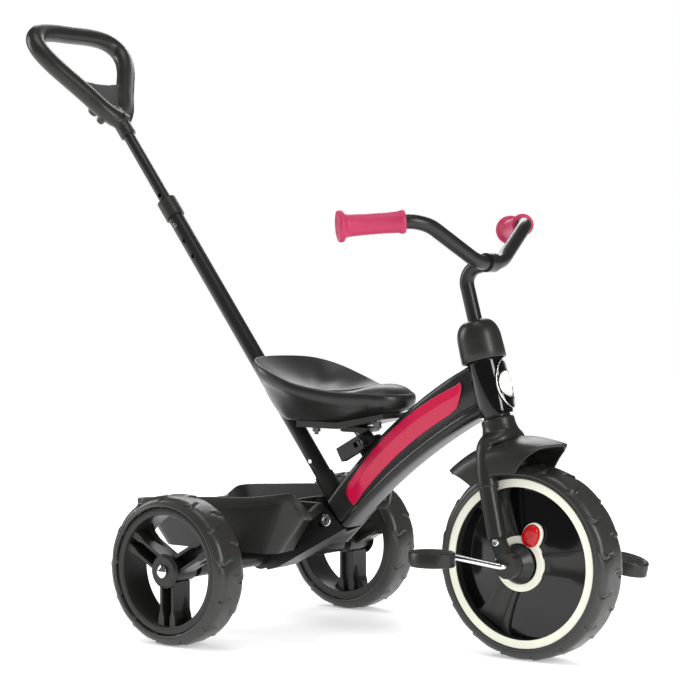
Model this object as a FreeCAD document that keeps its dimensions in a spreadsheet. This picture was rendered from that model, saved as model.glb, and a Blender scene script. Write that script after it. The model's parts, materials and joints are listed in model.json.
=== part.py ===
"""Children's tricycle with a push bar, as a parametric FreeCAD document (millimetres, +Z up).

The origin lies on the ground, in the middle of the length, +X forward and +Y to the rider's left.
Every driving size is a cell of the spreadsheet "sizes". Pieces are drawn in a few local frames:
the ground under the rear axle, each axle, the steering axis, the push bar's axis and the seat post's axis.
"""
import FreeCAD, Part
import math
import os

import Sketcher
from FreeCAD import Placement, Rotation, Vector

DRIVING_SIZES = {
    # overall layout, from the ground under the rear axle
    "rear_axle_x": -89.32,
    "wheelbase": 440.0,
    "track": 400.0,
    "seat_gap": 0.1,
    "running_gap": 0.05,
    "free_gap": 0.5,
    "weld_lap": 4.0,
    "tool_reach": 40.0,
    # rear wheels
    "rear_wheel_radius": 102.0,
    "rear_tyre_width": 54.0,
    "rear_rim_radius": 87.4,
    "rear_rim_wall": 11.8,
    "rear_rim_width": 48.0,
    "rear_shoulder_drop": 7.5,
    "rear_shoulder_width": 13.0,
    "rear_hub_radius": 17.0,
    "axle_spacer_radius": 8.0,
    "rear_cap_radius": 23.5,
    "rear_cap_depth": 4.0,
    "rear_spoke_depth": 34.0,
    "rear_spoke_root": 9.0,
    "rear_spoke_spread": 25.0,
    "rear_spoke_tip": 12.0,
    "rear_spoke_slot": 16.0,
    "spoke_count": 3.0,
    "tyre_bead": 1.5,
    "tyre_shoulder_curve": 16.0,
    # rear axle
    "axle_radius": 5.0,
    "axle_tube_radius": 14.5,
    "axle_tube_wall": 2.5,
    "axle_tube_length": 320.0,
    "axle_nut_radius": 8.5,
    "axle_nut_depth": 6.5,
    "axle_nut_edge": 3.5,
    "axle_nut_dome": 12.5,
    "axle_nut_cover": 2.0,
    "axle_bush_depth": 20.0,
    "axle_bush_flange": 4.0,
    # front wheel
    "front_wheel_radius": 127.0,
    "front_tyre_width": 57.0,
    "front_rim_radius": 111.0,
    "front_rim_wall": 11.0,
    "front_rim_width": 52.0,
    "front_shoulder_drop": 9.0,
    "front_shoulder_width": 14.0,
    "front_hub_radius": 16.0,
    "front_bush_radius": 7.0,
    "front_web": 5.0,
    "disc_face": 20.0,
    "disc_wall": 3.0,
    "spoke_face": 23.0,
    "spoke_plate_radius": 36.5,
    "spoke_inner_width": 34.0,
    "spoke_outer_width": 50.0,
    "ring_inner_radius": 97.8,
    "ring_depth": 1.5,
    "ring_lap": 2.3,
    "ring_edge": 0.2,
    "front_spoke_gap": 5.0,
    "hub_ring_inner": 26.5,
    "hub_ring_depth": 5.0,
    "selector_reach": 43.5,
    "selector_angle": 63.0,
    "selector_width": 24.0,
    "selector_length": 29.0,
    "selector_depth": 7.0,
    "selector_pad": 3.0,
    "selector_travel": 4.0,
    "selector_clearance": 1.5,
    "selector_seat": 0.3,
    "selector_curve": 24.0,
    "selector_tab_edge": 3.0,
    "selector_tab_tip": 2.0,
    # crank and pedals
    "crank_rod_radius": 4.0,
    "crank_length": 75.0,
    "crank_rise": 8.0,
    "crank_bend": 9.0,
    "crank_shoulder": 68.0,
    "crank_flare": 12.0,
    "pedal_middle": 120.0,
    "pedal_width": 62.0,
    "pedal_length": 60.0,
    "pedal_depth": 19.0,
    "pedal_flat": 20.0,
    "pedal_curve": 45.0,
    "pedal_end_wall": 4.0,
    "crank_tip_gap": 5.0,
    # steering head, along the steering axis from the front axle
    "steer_tilt": 15.5,
    "steerer_radius": 12.7,
    "steerer_foot": 165.0,
    "steerer_top": 322.0,
    "crown_thickness": 8.0,
    "crown_ring_radius": 30.0,
    "crown_ring_flange": 6.0,
    "crown_neck_radius": 20.0,
    "head_start": 196.5,
    "head_top": 268.4,
    "head_radius": 22.5,
    "head_foot_radius": 18.0,
    "head_bore_radius": 16.0,
    "bush_flange": 2.5,
    "bush_length": 18.0,
    "head_taper": 8.0,
    "badge_rise": 1.0,
    "badge_root": 5.0,
    "badge_height": 52.0,
    "badge_width": 27.0,
    "badge_boss": 3.0,
    "badge_depth": 2.0,
    "badge_curve": 34.0,
    "badge_disc_radius": 9.5,
    "bell_radius": 28.5,
    "bell_top": 326.5,
    "bell_wall": 2.5,
    "bell_skirt": 26.0,
    "bell_taper": 2.0,
    "bell_dome": 6.0,
    "bell_shoulder": 12.0,
    "bell_collar": 8.0,
    "bell_ceiling": 15.0,
    "crown_ring_slope": 7.0,
    # fork, fender and front hub
    "fork_top_spread": 38.5,
    "fork_foot_spread": 50.5,
    "fork_top_offset": -9.0,
    "fork_foot_offset": -9.0,
    "fork_foot": 42.0,
    "fork_leg_radius": 11.7,
    "fork_leg_wall": 2.0,
    "sheath_wall": 1.6,
    "sheath_foot": 103.0,
    "yoke_depth": 34.0,
    "fork_end_width": 18.0,
    "fork_end_inner": 46.0,
    "fork_end_outer": 58.0,
    "fork_boss_radius": 16.5,
    "fork_boss_outer": 60.0,
    "fork_plug_length": 24.0,
    "shroud_radius": 25.0,
    "shroud_inner": 29.0,
    "fork_screw_radius": 5.0,
    "fork_screw_depth": 3.5,
    "fork_screw_drop": 8.0,
    "yoke_round": 10.0,
    "yoke_shift": 4.0,
    "fender_crest": 164.0,
    "fender_edge": 138.0,
    "fender_half_width": 36.0,
    "fender_flat": 14.0,
    "fender_wall": 3.0,
    "fender_reach": 98.0,
    "fender_tip": 8.0,
    "fender_outer_curve": 46.0,
    "fender_inner_curve": 43.0,
    "fender_leaf_curve": 165.0,
    # stem, handlebar and grips, in the steering frame
    "stem_radius": 9.75,
    "stem_wall": 2.0,
    "stem_foot": 270.0,
    "stem_bend": 22.0,
    "stem_sleeve": 20.0,
    "bar_x": 42.8,
    "bar_z": 394.8,
    "bar_radius": 9.75,
    "bar_wall": 1.6,
    "bar_straight": 28.0,
    "bar_knee_spread": 125.0,
    "bar_knee_x": 37.3,
    "bar_knee_z": 452.7,
    "bar_end_spread": 204.7,
    "bar_end_x": -40.6,
    "bar_end_z": 465.6,
    "bar_centre_bend": 60.0,
    "bar_knee_bend": 60.0,
    "grip_length": 85.0,
    "grip_radius": 14.0,
    "grip_flange_radius": 18.5,
    "grip_flange": 8.0,
    "grip_end_wall": 4.0,
    "stem_sleeve_wall": 3.0,
    # beam, its inlays and the rear bracket
    "beam_width": 46.0,
    "beam_round": 9.0,
    "beam_wall": 3.0,
    "beam_top_front_x": 352.0,
    "beam_top_front_z": 383.0,
    "beam_top_curve": 750.0,
    "beam_top_foot_x": 121.0,
    "beam_top_foot_z": 190.0,
    "beam_low_foot_x": 152.0,
    "beam_low_foot_z": 152.0,
    "beam_low_curve": 840.0,
    "beam_low_front_x": 386.0,
    "beam_low_front_z": 322.0,
    "hollow_foot_inset": 8.0,
    "hollow_low_rise": 6.0,
    "hollow_low_shift": 2.0,
    "hollow_front_inset": 14.0,
    "hollow_front_drop": 1.0,
    "hollow_top_inset": 4.0,
    "hollow_top_drop": 9.0,
    "inlay_depth": 3.0,
    "inlay_recess": 1.5,
    "inlay_heel_curve": 16.0,
    "inlay_top_front_x": 351.0,
    "inlay_top_front_z": 361.4,
    "inlay_top_foot_x": 164.0,
    "inlay_top_foot_z": 218.3,
    "inlay_heel_x": 157.8,
    "inlay_heel_z": 206.3,
    "inlay_tip_x": 168.1,
    "inlay_tip_z": 184.3,
    "inlay_low_front_x": 345.3,
    "inlay_low_front_z": 325.8,
    "inlay_top_curve": 640.0,
    "inlay_low_curve": 900.0,
    "bracket_width": 40.0,
    "bracket_collar": 20.0,
    "bracket_low_front_x": 150.0,
    "bracket_low_front_z": 150.0,
    "bracket_low_rear_x": 34.0,
    "bracket_low_rear_z": 88.0,
    "bracket_top_rear_x": 22.0,
    "bracket_top_front_x": 103.0,
    "bracket_top_front_z": 192.0,
    "bracket_shelf_x": 66.0,
    "bracket_shelf_z": 116.0,
    "bracket_heel": 20.0,
    "bracket_heel_drop": 6.0,
    "bracket_bolt_x": 108.4,
    "bracket_bolt_z": 153.5,
    "bracket_bolt_radius": 4.0,
    "bracket_bolt_head": 7.0,
    "bracket_bolt_cap": 4.5,
    # push bar, along its axis from the socket's mouth
    "push_foot_x": 117.9,
    "push_foot_z": 197.0,
    "push_lean": 37.0,
    "push_socket_radius": 14.0,
    "push_socket_depth": 50.0,
    "push_spigot": 40.0,
    "push_spigot_radius": 10.0,
    "push_tube_radius": 11.75,
    "push_tube_length": 504.0,
    "push_collar_radius": 13.8,
    "push_collar_length": 30.0,
    "push_upper_radius": 8.75,
    "push_upper_overlap": 140.0,
    "push_upper_length": 310.0,
    "push_upper_wall": 1.5,
    "sleeve_radius": 14.5,
    "sleeve_length": 30.0,
    "sleeve_start": 487.0,
    "button_height": 471.0,
    "button_radius": 3.2,
    "button_stand": 2.5,
    "button_pitch": 28.0,
    "push_hole_radius": 3.4,
    "push_screw_height": 54.0,
    "push_screw_radius": 3.0,
    "push_hole_count": 3.0,
    "push_screw_head": 2.0,
    "drill_depth": 4.0,
    # handle loop, along the push bar's axis above the upper tube
    "handle_neck_start": 640.0,
    "handle_neck_length": 36.0,
    "handle_neck_radius": 12.0,
    "handle_tube_radius": 14.0,
    "handle_fork": 640.0,
    "handle_top": 836.0,
    "handle_half_width": 113.0,
    "handle_corner_bend": 32.0,
    "handle_fork_bend": 55.0,
    "handle_web": 12.0,
    "handle_web_top": 732.0,
    "handle_web_root": 6.0,
    "handle_web_back": 4.0,
    "handle_neck_lap": 30.0,
    # basket
    "basket_wall": 3.0,
    "basket_floor_rear": -118.0,
    "basket_floor_front": 82.0,
    "basket_floor_half": 96.0,
    "basket_rim_rear": -159.0,
    "basket_rim_front": 150.0,
    "basket_rim_half": 120.0,
    "basket_rim_z": 208.0,
    "basket_seat_gap": 0.3,
    "basket_top_margin": 30.0,
    "basket_rear_shelf": 9.0,
    "basket_front_drop": 2.0,
    "basket_corner": 26.0,
    "basket_rear_lip": 166.0,
    "basket_side_rear_x": -134.0,
    "basket_side_rear_z": 184.0,
    "basket_front_lip": 183.0,
    "basket_front_half": 88.0,
    "basket_front_cut": 118.0,
    "recess_half": 34.0,
    "recess_start": 62.0,
    "basket_screw_y": 62.0,
    "basket_screw_radius": 5.0,
    "basket_screw_head": 2.5,
    # seat post, clamp and lever
    "post_x": 186.0,
    "post_z": 262.0,
    "post_lean": 40.0,
    "post_radius": 10.5,
    "post_wall": 1.8,
    "post_insert": 40.0,
    "post_socket_wall": 3.0,
    "post_socket_top": 10.0,
    "clamp_wall": 5.5,
    "clamp_height": 10.0,
    "clamp_start": 1.0,
    "lever_x": 186.0,
    "lever_z": 272.0,
    "lever_rise": 29.0,
    "lever_length": 43.0,
    "lever_height": 20.0,
    "lever_depth": 12.0,
    "lever_inner": 25.0,
    "lever_eye_radius": 4.5,
    "lever_eye_height": 7.0,
    "lever_pin_radius": 2.0,
    "lever_pin_inset": 6.0,
    "lever_slot_depth": 3.0,
    "lever_slot_gap": 0.3,
    "lever_shank_radius": 3.0,
    "lever_shank_start": 10.0,
    # seat
    "seat_half_width": 89.0,
    "seat_back_x": 6.0,
    "seat_back_top": 388.0,
    "seat_nose_x": 250.0,
    "seat_nose_z": 333.0,
    "seat_floor": 300.0,
    "cushion_lap": 0.3,
    "cushion_back_width": 6.0,
    "cushion_corner": 30.0,
    "cushion_back_step": 60.0,
    "cushion_back_fall": 32.0,
    "cushion_dish": 130.0,
    "cushion_dish_rise": 14.0,
    "cushion_nose_start": 50.0,
    "cushion_nose_rise": 18.0,
    "cushion_nose_curve": 12.0,
    "cushion_nose_brow": 11.0,
    "cushion_nose_floor": 10.0,
    "cushion_nose_lip": 4.0,
    "cushion_rear_foot": 42.0,
    "cushion_rear_foot_rise": 23.0,
    "cushion_rear_wall": 12.0,
    "cushion_rear_wall_rise": 62.0,
    "cushion_rear_edge": 7.0,
    "cushion_wide_start": 50.0,
    "cushion_wide_end": 110.0,
    "cushion_taper": 4.0,
    "cushion_nose_shoulder": 26.0,
    "cushion_nose_half": 40.0,
    "cushion_nose_tip": 16.0,
    "pan_depth": 9.0,
    "pan_half_width": 48.0,
    "pan_rear": 88.0,
    "pan_front": 230.0,
    "pan_front_rise": 14.0,
    "pan_flat": 70.0,
    "pan_front_thinning": 2.0,
    "pan_wide": 60.0,
    "pan_front_narrowing": 8.0,
    "pan_bolt_rear": 24.0,
    "pan_bolt_front": 14.0,
    "seat_bolt_radius": 3.0,
    "seat_bolt_length": 10.0,
    "seat_bolt_spread": 33.0,
    "seat_block_height": 6.0,
    "seat_nut_radius": 5.7,
    "seat_nut_depth": 6.0,
    "seat_block_rear": 26.0,
    "seat_block_front": 28.0,
    "seat_block_foot_rear": 18.0,
    "seat_block_foot_front": 20.0,
    "seat_block_width": 34.0,
}

doc = FreeCAD.newDocument("tricycle")
sheet = doc.addObject("Spreadsheet::Sheet", "sizes")
for row, (alias, number) in enumerate(DRIVING_SIZES.items(), start=1):
    sheet.set(f"A{row}", alias)
    sheet.set(f"B{row}", repr(number))
    sheet.setAlias(f"B{row}", alias)
doc.recompute()


class Dim:
    """A size that knows its number and the spreadsheet expression that gives it."""

    def __init__(self, value, text=None):
        self.value = float(value)
        self.text = text if text else f"({self.value!r})"

    @staticmethod
    def of(item):
        return item if isinstance(item, Dim) else Dim(item)

    def _joined(self, other, sign, value):
        return Dim(value, f"({self.text} {sign} {other.text})")

    def __add__(self, other):
        other = Dim.of(other)
        return self._joined(other, "+", self.value + other.value)

    def __sub__(self, other):
        other = Dim.of(other)
        return self._joined(other, "-", self.value - other.value)

    def __mul__(self, other):
        other = Dim.of(other)
        return self._joined(other, "*", self.value * other.value)

    def __truediv__(self, other):
        other = Dim.of(other)
        return self._joined(other, "/", self.value / other.value)

    def __radd__(self, other):
        return Dim.of(other) + self

    def __rsub__(self, other):
        return Dim.of(other) - self

    def __rmul__(self, other):
        return Dim.of(other) * self

    def __neg__(self):
        return Dim(0.0) - self


class Sizes:
    """The spreadsheet's cells as attributes: size.wheelbase is a Dim."""

    def __getattr__(self, alias):
        return Dim(getattr(sheet, alias), f"sizes.{alias}")


size = Sizes()


def sin_deg(angle):
    return Dim(math.sin(math.radians(angle.value)), f"sin({angle.text})")


def cos_deg(angle):
    return Dim(math.cos(math.radians(angle.value)), f"cos({angle.text})")


def bind(item, prop, dim):
    """Tie one property of a document object to the spreadsheet."""
    item.setExpression(prop, Dim.of(dim).text)


class Frame:
    """A local frame: where its origin is, and its turn about +Y in degrees."""

    def __init__(self, x, z, tilt=0.0, y=0.0):
        self.x, self.y, self.z, self.tilt = (Dim.of(item) for item in (x, y, z, tilt))

    def place(self, item):
        origin = Vector(self.x.value, self.y.value, self.z.value)
        item.Placement = Placement(origin, Rotation(Vector(0, 1, 0), self.tilt.value))
        for axis in ("x", "y", "z"):
            bind(item, f"Placement.Base.{axis}", getattr(self, axis))
        if self.tilt.value:
            bind(item, "Placement.Rotation.Angle", self.tilt)
        return item


GROUND = Frame(size.rear_axle_x, 0.0)
REAR_AXLE = Frame(size.rear_axle_x, size.rear_wheel_radius)
REAR_WHEEL = Frame(size.rear_axle_x, size.rear_wheel_radius, y=-size.track / 2)
FRONT_AXLE = Frame(size.rear_axle_x + size.wheelbase, size.front_wheel_radius)
STEERING = Frame(FRONT_AXLE.x, FRONT_AXLE.z, -size.steer_tilt)
PUSH_BAR = Frame(size.rear_axle_x + size.push_foot_x, size.push_foot_z, -size.push_lean)
SEAT_POST = Frame(size.rear_axle_x + size.post_x, size.post_z, -size.post_lean)
LEVER = Frame(size.rear_axle_x + size.lever_x, size.lever_z, -size.lever_rise)

PIECES = []


def keep(item, label):
    """Name a finished sub-part, which is then written to its own file."""
    item.Label = label
    PIECES.append(item)
    return item


def new_body(name, frame):
    return frame.place(doc.addObject("PartDesign::Body", name))


def arc_through(start, end, radius):
    """The arc between two points; a positive radius bends it to the right of the way it runs."""
    chord = end - start
    side = 1 if radius > 0 else -1
    normal = Vector(-chord.y, chord.x, 0) * (side / chord.Length)
    centre = (start + end) * 0.5 + normal * math.sqrt(radius ** 2 - chord.Length ** 2 / 4)
    first, last = (math.atan2(point.y - centre.y, point.x - centre.x) for point in (start, end))
    if side < 0:
        first, last = last, first
    return Part.ArcOfCircle(Part.Circle(centre, Vector(0, 0, 1), abs(radius)), first, last)


def outline(body, name, plane, corners, arcs=None, height=None):
    """A closed sketch: corners as pairs of Dims, and arcs as {side number: radius}."""
    arcs = arcs or {}
    sketch = body.newObject("Sketcher::SketchObject", name)
    origin_plane = next(item for item in body.Origin.OriginFeatures if item.Role == plane)
    sketch.AttachmentSupport = [(origin_plane, "")]
    sketch.MapMode = "FlatFace"
    if height is not None:
        sketch.AttachmentOffset = Placement(Vector(0, 0, height.value), Rotation())
        bind(sketch, "AttachmentOffset.Base.z", height)
    spots = [(Dim.of(across), Dim.of(up)) for across, up in corners]
    points = [Vector(across.value, up.value, 0) for across, up in spots]
    count = len(points)
    first_end = {}
    for side in range(count):
        start, end = points[side], points[(side + 1) % count]
        if side in arcs:
            sketch.addGeometry(arc_through(start, end, Dim.of(arcs[side]).value))
            first_end[side] = 1 if Dim.of(arcs[side]).value > 0 else 2
        else:
            sketch.addGeometry(Part.LineSegment(start, end))
            first_end[side] = 1
    for side in range(count):
        after = (side + 1) % count
        joint = Sketcher.Constraint("Coincident", side, 3 - first_end[side], after, first_end[after])
        sketch.addConstraint(joint)
        for kind, dim in zip(("DistanceX", "DistanceY"), spots[side]):
            index = sketch.addConstraint(
                Sketcher.Constraint(kind, -1, 1, side, first_end[side], dim.value))
            sketch.setExpression(f"Constraints[{index}]", dim.text)
    for side, radius in arcs.items():
        radius = Dim.of(radius)
        radius = radius if radius.value > 0 else -radius
        index = sketch.addConstraint(Sketcher.Constraint("Radius", side, radius.value))
        sketch.setExpression(f"Constraints[{index}]", radius.text)
    return sketch


def circle(body, name, plane, across, up, radius):
    """A sketch of one circle."""
    sketch = body.newObject("Sketcher::SketchObject", name)
    origin_plane = next(item for item in body.Origin.OriginFeatures if item.Role == plane)
    sketch.AttachmentSupport = [(origin_plane, "")]
    sketch.MapMode = "FlatFace"
    spots = [Dim.of(across), Dim.of(up)]
    centre = Vector(spots[0].value, spots[1].value, 0)
    sketch.addGeometry(Part.Circle(centre, Vector(0, 0, 1), radius.value))
    for kind, dim in zip(("DistanceX", "DistanceY"), spots):
        index = sketch.addConstraint(Sketcher.Constraint(kind, -1, 1, 0, 3, dim.value))
        sketch.setExpression(f"Constraints[{index}]", dim.text)
    index = sketch.addConstraint(Sketcher.Constraint("Radius", 0, radius.value))
    sketch.setExpression(f"Constraints[{index}]", radius.text)
    return sketch


def turned(name, frame, plane, corners, arcs=None):
    """A body of revolution: on XY_Plane about the local Y axis, on XZ_Plane about the local Z axis."""
    body = new_body(name, frame)
    sketch = outline(body, f"{name}_profile", plane, corners, arcs)
    turn = body.newObject("PartDesign::Revolution", f"{name}_turn")
    turn.Profile = sketch
    turn.ReferenceAxis = (sketch, ["V_Axis"])
    turn.Angle = 360
    return body


def ring(name, frame, plane, inner, outer, start, end):
    """A plain ring or tube between two places on its axis."""
    return turned(name, frame, plane, [(inner, start), (outer, start), (outer, end), (inner, end)])


def rod(name, frame, plane, radius, start, end):
    return turned(name, frame, plane, [(0.0, start), (radius, start), (radius, end), (0.0, end)])


def add_pad(body, sketch, thickness, name, midplane=True, reverse=False):
    pad = body.newObject("PartDesign::Pad", name)
    pad.Profile = sketch
    pad.Midplane = midplane
    pad.Reversed = reverse
    bind(pad, "Length", thickness)
    return pad


def padded(name, frame, plane, corners, thickness, arcs=None):
    """A plate or block: an outline with its thickness shared to both sides."""
    body = new_body(name, frame)
    add_pad(body, outline(body, f"{name}_outline", plane, corners, arcs), thickness, f"{name}_pad")
    return body


def side_slab(name, frame, corners, near, far, arcs=None):
    """A plate drawn from the side, between two distances to the rider's right of the centre."""
    body = new_body(name, frame)
    sketch = outline(body, f"{name}_outline", "XZ_Plane", corners, arcs, height=near)
    add_pad(body, sketch, far - near, f"{name}_pad", midplane=False)
    return body


def combine(kind, name, base, tool):
    item = doc.addObject(kind, name)
    item.Base = base
    item.Tool = tool
    return item


def cut(name, base, *tools):
    for number, tool in enumerate(tools):
        base = combine("Part::Cut", f"{name}_cut_{number}", base, tool)
    return base


def common(name, base, tool):
    return combine("Part::Common", name, base, tool)


def fuse(name, *items):
    base = items[0]
    for number, item in enumerate(items[1:]):
        base = combine("Part::Fuse", f"{name}_fuse_{number}", base, item)
    return base


def group(name, *items):
    """Identical fasteners as one sub-part of separate solids."""
    compound = doc.addObject("Part::Compound", name)
    compound.Links = list(items)
    return compound


def mirror(name, source):
    """The same piece on the rider's left."""
    item = doc.addObject("Part::Mirroring", name)
    item.Source = source
    item.Normal = Vector(0, 1, 0)
    item.Base = Vector(0, 0, 0)
    return item


def keep_pair(item, label):
    """Keep a right-hand piece and its mirror image as two sub-parts, on two moving bodies."""
    keep(item, f"{label}_right")
    keep(mirror(f"{label}_mirrored", item), f"{label}_left")


def keep_both(item, label):
    """Keep a right-hand piece and its mirror image as one sub-part of two solids."""
    keep(group(f"{item.Name}_pair", item, mirror(f"{item.Name}_mirrored", item)), label)


def shaped(name, frame, shape):
    """A sub-part whose shape comes from Part's own functions, placed after its shape is set."""
    item = doc.addObject("Part::Feature", name)
    item.Shape = shape
    return frame.place(item)


def rounded_wire(points, bends):
    """Straight runs joined by tangent arcs; bends holds a radius for each inner point."""
    edges = []
    start = points[0]
    for before, corner, after, bend in zip(points, points[1:], points[2:], bends):
        inward = (before - corner).normalize()
        outward = (after - corner).normalize()
        half_angle = inward.getAngle(outward) / 2
        reach = bend / math.tan(half_angle)
        bisector = (inward + outward).normalize()
        middle = corner + bisector * (bend / math.sin(half_angle) - bend)
        first, last = corner + inward * reach, corner + outward * reach
        edges.append(Part.makeLine(start, first))
        edges.append(Part.Arc(first, middle, last).toShape())
        start = last
    edges.append(Part.makeLine(start, points[-1]))
    return Part.Wire(edges)


def swept_rod(points, bends, radius):
    """A round rod along straight runs and tangent arcs."""
    path = rounded_wire(points, bends)
    direction = points[1] - points[0]
    section = Part.Wire([Part.makeCircle(radius, points[0], direction)])
    return path.makePipeShell([section], True, False)


def cylinder_between(start, end, radius):
    return Part.makeCylinder(radius, (end - start).Length, start, end - start)


# ---------------------------------------------------------------- rear axle and rear wheels
def build_rear_axle():
    half_tube = size.axle_tube_length / 2
    hub_inner = size.track / 2 - size.rear_rim_width / 2
    cap_outer = size.track / 2 + size.rear_rim_width / 2 + size.rear_cap_depth
    nut_end = cap_outer + size.free_gap + size.axle_nut_depth
    tube_bore = size.axle_tube_radius - size.axle_tube_wall
    keep(ring("axle_tube", REAR_AXLE, "XY_Plane", tube_bore, size.axle_tube_radius,
              -half_tube, half_tube), "rear_axle_tube")
    rod_end = nut_end - size.axle_nut_cover
    keep(rod("axle_rod", REAR_AXLE, "XY_Plane", size.axle_radius, -rod_end, rod_end), "rear_axle")
    bore = size.axle_radius + size.running_gap
    spacer = hub_inner - size.free_gap
    bush = turned("axle_bush", REAR_AXLE, "XY_Plane", [
        (bore, -half_tube + size.axle_bush_depth),
        (tube_bore - size.seat_gap, -half_tube + size.axle_bush_depth),
        (tube_bore - size.seat_gap, -half_tube), (size.axle_tube_radius, -half_tube),
        (size.axle_tube_radius, -half_tube - size.axle_bush_flange),
        (size.axle_spacer_radius, -half_tube - size.axle_bush_flange),
        (size.axle_spacer_radius, -spacer), (bore, -spacer)])
    keep_both(bush, "rear_axle_bushes")
    nut = turned("axle_nut", REAR_AXLE, "XY_Plane", [
        (size.axle_radius + size.running_gap, -cap_outer - size.free_gap),
        (size.axle_nut_radius, -cap_outer - size.free_gap),
        (size.axle_nut_radius, -nut_end + size.axle_nut_edge), (0.0, -nut_end),
        (0.0, -rod_end - size.seat_gap),
        (size.axle_radius + size.running_gap, -rod_end - size.seat_gap)], {2: -size.axle_nut_dome})
    keep_both(nut, "rear_axle_nuts")


def tyre(name, frame, radius, bore, width, drop, shoulder):
    half = width / 2
    return turned(name, frame, "XY_Plane", [
        (bore, size.tyre_bead - half), (radius - drop, -half), (radius, shoulder - half),
        (radius, half - shoulder), (radius - drop, half), (bore, half - size.tyre_bead)],
        {1: size.tyre_shoulder_curve, 3: size.tyre_shoulder_curve})


def build_rear_wheel():
    keep_pair(tyre("rear_tyre", REAR_WHEEL, size.rear_wheel_radius, size.rear_rim_radius,
                   size.rear_tyre_width, size.rear_shoulder_drop, size.rear_shoulder_width), "rear_tyre")
    half = size.rear_rim_width / 2
    bore = size.axle_radius + size.running_gap
    rim = ring("rear_rim", REAR_WHEEL, "XY_Plane", bore, size.rear_hub_radius, -half, half)
    rim_inner = size.rear_rim_radius - size.rear_rim_wall
    root, reach = size.rear_hub_radius - size.weld_lap, rim_inner + size.weld_lap
    spread, slot = size.rear_spoke_spread, size.rear_spoke_spread - size.rear_spoke_tip
    rib = add_pad(rim, outline(rim, "rear_spoke_outline", "XZ_Plane", [
        (root, -size.rear_spoke_root), (reach, -spread), (reach, -slot), (root + size.rear_spoke_slot, 0.0),
        (reach, slot), (reach, spread), (root, size.rear_spoke_root)]), size.rear_spoke_depth, "rear_spoke")
    spokes = rim.newObject("PartDesign::PolarPattern", "rear_spokes")
    spokes.Originals = [rib]
    spokes.Axis = (rim.Origin.OriginFeatures[1], [""])
    spokes.Angle = 360
    bind(spokes, "Occurrences", size.spoke_count)
    rim.Tip = spokes
    barrel = rim.newObject("PartDesign::Revolution", "rear_barrel")
    barrel.Profile = outline(rim, "rear_barrel_profile", "XY_Plane", [
        (rim_inner, -half), (size.rear_rim_radius - size.seat_gap, -half),
        (size.rear_rim_radius - size.seat_gap, half), (rim_inner, half)])
    barrel.ReferenceAxis = (barrel.Profile[0], ["V_Axis"])
    barrel.Angle = 360
    keep_pair(rim, "rear_rim")
    cap_bore = size.axle_radius + size.free_gap * 2
    keep_pair(turned("rear_cap", REAR_WHEEL, "XY_Plane", [
        (cap_bore, -half), (size.rear_cap_radius, -half),
        (size.rear_cap_radius - size.rear_cap_depth, -half - size.rear_cap_depth),
        (cap_bore, -half - size.rear_cap_depth)]), "rear_hub_cap")


# ---------------------------------------------------------------- front wheel, crank and pedals
def build_front_wheel():
    keep(tyre("front_tyre_body", FRONT_AXLE, size.front_wheel_radius, size.front_rim_radius,
              size.front_tyre_width, size.front_shoulder_drop, size.front_shoulder_width), "front_tyre")
    half = size.front_rim_width / 2
    barrel_inner = size.front_rim_radius - size.front_rim_wall
    outer = size.front_rim_radius - size.seat_gap
    bore = size.front_bush_radius + size.seat_gap
    hub_end = size.spoke_face
    web = size.front_web / 2
    keep(turned("front_rim_body", FRONT_AXLE, "XY_Plane", [
        (bore, -hub_end), (size.front_hub_radius, -hub_end), (size.front_hub_radius, -web),
        (barrel_inner, -web), (barrel_inner, -half), (outer, -half), (outer, half),
        (barrel_inner, half), (barrel_inner, web), (size.front_hub_radius, web),
        (size.front_hub_radius, hub_end), (bore, hub_end)]), "front_rim")
    keep(ring("front_bush_body", FRONT_AXLE, "XY_Plane", size.crank_rod_radius + size.running_gap,
              size.front_bush_radius, -hub_end - size.weld_lap, hub_end + size.weld_lap), "front_hub_bush")
    hub_fit = size.front_hub_radius + size.seat_gap
    disc_outer = barrel_inner - size.seat_gap
    keep_both(ring("disc", FRONT_AXLE, "XY_Plane", hub_fit, disc_outer, -size.disc_face,
                   -size.disc_face + size.disc_wall), "front_discs")
    spoke_reach = disc_outer - size.front_spoke_gap
    plate = side_slab("front_spoke", FRONT_AXLE, [
        (0.0, -size.spoke_inner_width / 2), (spoke_reach, -size.spoke_outer_width / 2),
        (spoke_reach, size.spoke_outer_width / 2), (0.0, size.spoke_inner_width / 2)],
        size.disc_face, size.spoke_face, {1: disc_outer})
    spokes = plate.newObject("PartDesign::PolarPattern", "front_spoke_turns")
    spokes.Originals = [plate.Tip]
    spokes.Axis = (plate.Origin.OriginFeatures[1], [""])
    spokes.Angle = 360
    bind(spokes, "Occurrences", size.spoke_count)
    plate.Tip = spokes
    centre = plate.newObject("PartDesign::Revolution", "front_spoke_plate")
    centre.Profile = outline(plate, "front_spoke_plate_profile", "XY_Plane", [
        (0.0, -size.disc_face), (size.spoke_plate_radius, -size.disc_face),
        (size.spoke_plate_radius, -size.spoke_face), (0.0, -size.spoke_face)])
    centre.ReferenceAxis = (centre.Profile[0], ["V_Axis"])
    centre.Angle = 360
    opening = plate.newObject("PartDesign::Groove", "front_spoke_opening")
    opening.Profile = outline(plate, "front_spoke_opening_profile", "XY_Plane", [
        (0.0, -size.disc_face + 1), (hub_fit, -size.disc_face + 1), (hub_fit, -size.spoke_face - 1),
        (0.0, -size.spoke_face - 1)])
    opening.ReferenceAxis = (opening.Profile[0], ["V_Axis"])
    opening.Angle = 360
    keep_both(plate, "front_spokes")
    keep_both(ring("white_ring", FRONT_AXLE, "XY_Plane", size.ring_inner_radius + size.ring_lap,
                   size.front_rim_radius - size.ring_edge, -half - size.ring_depth, -half), "wheel_rings")


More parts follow.
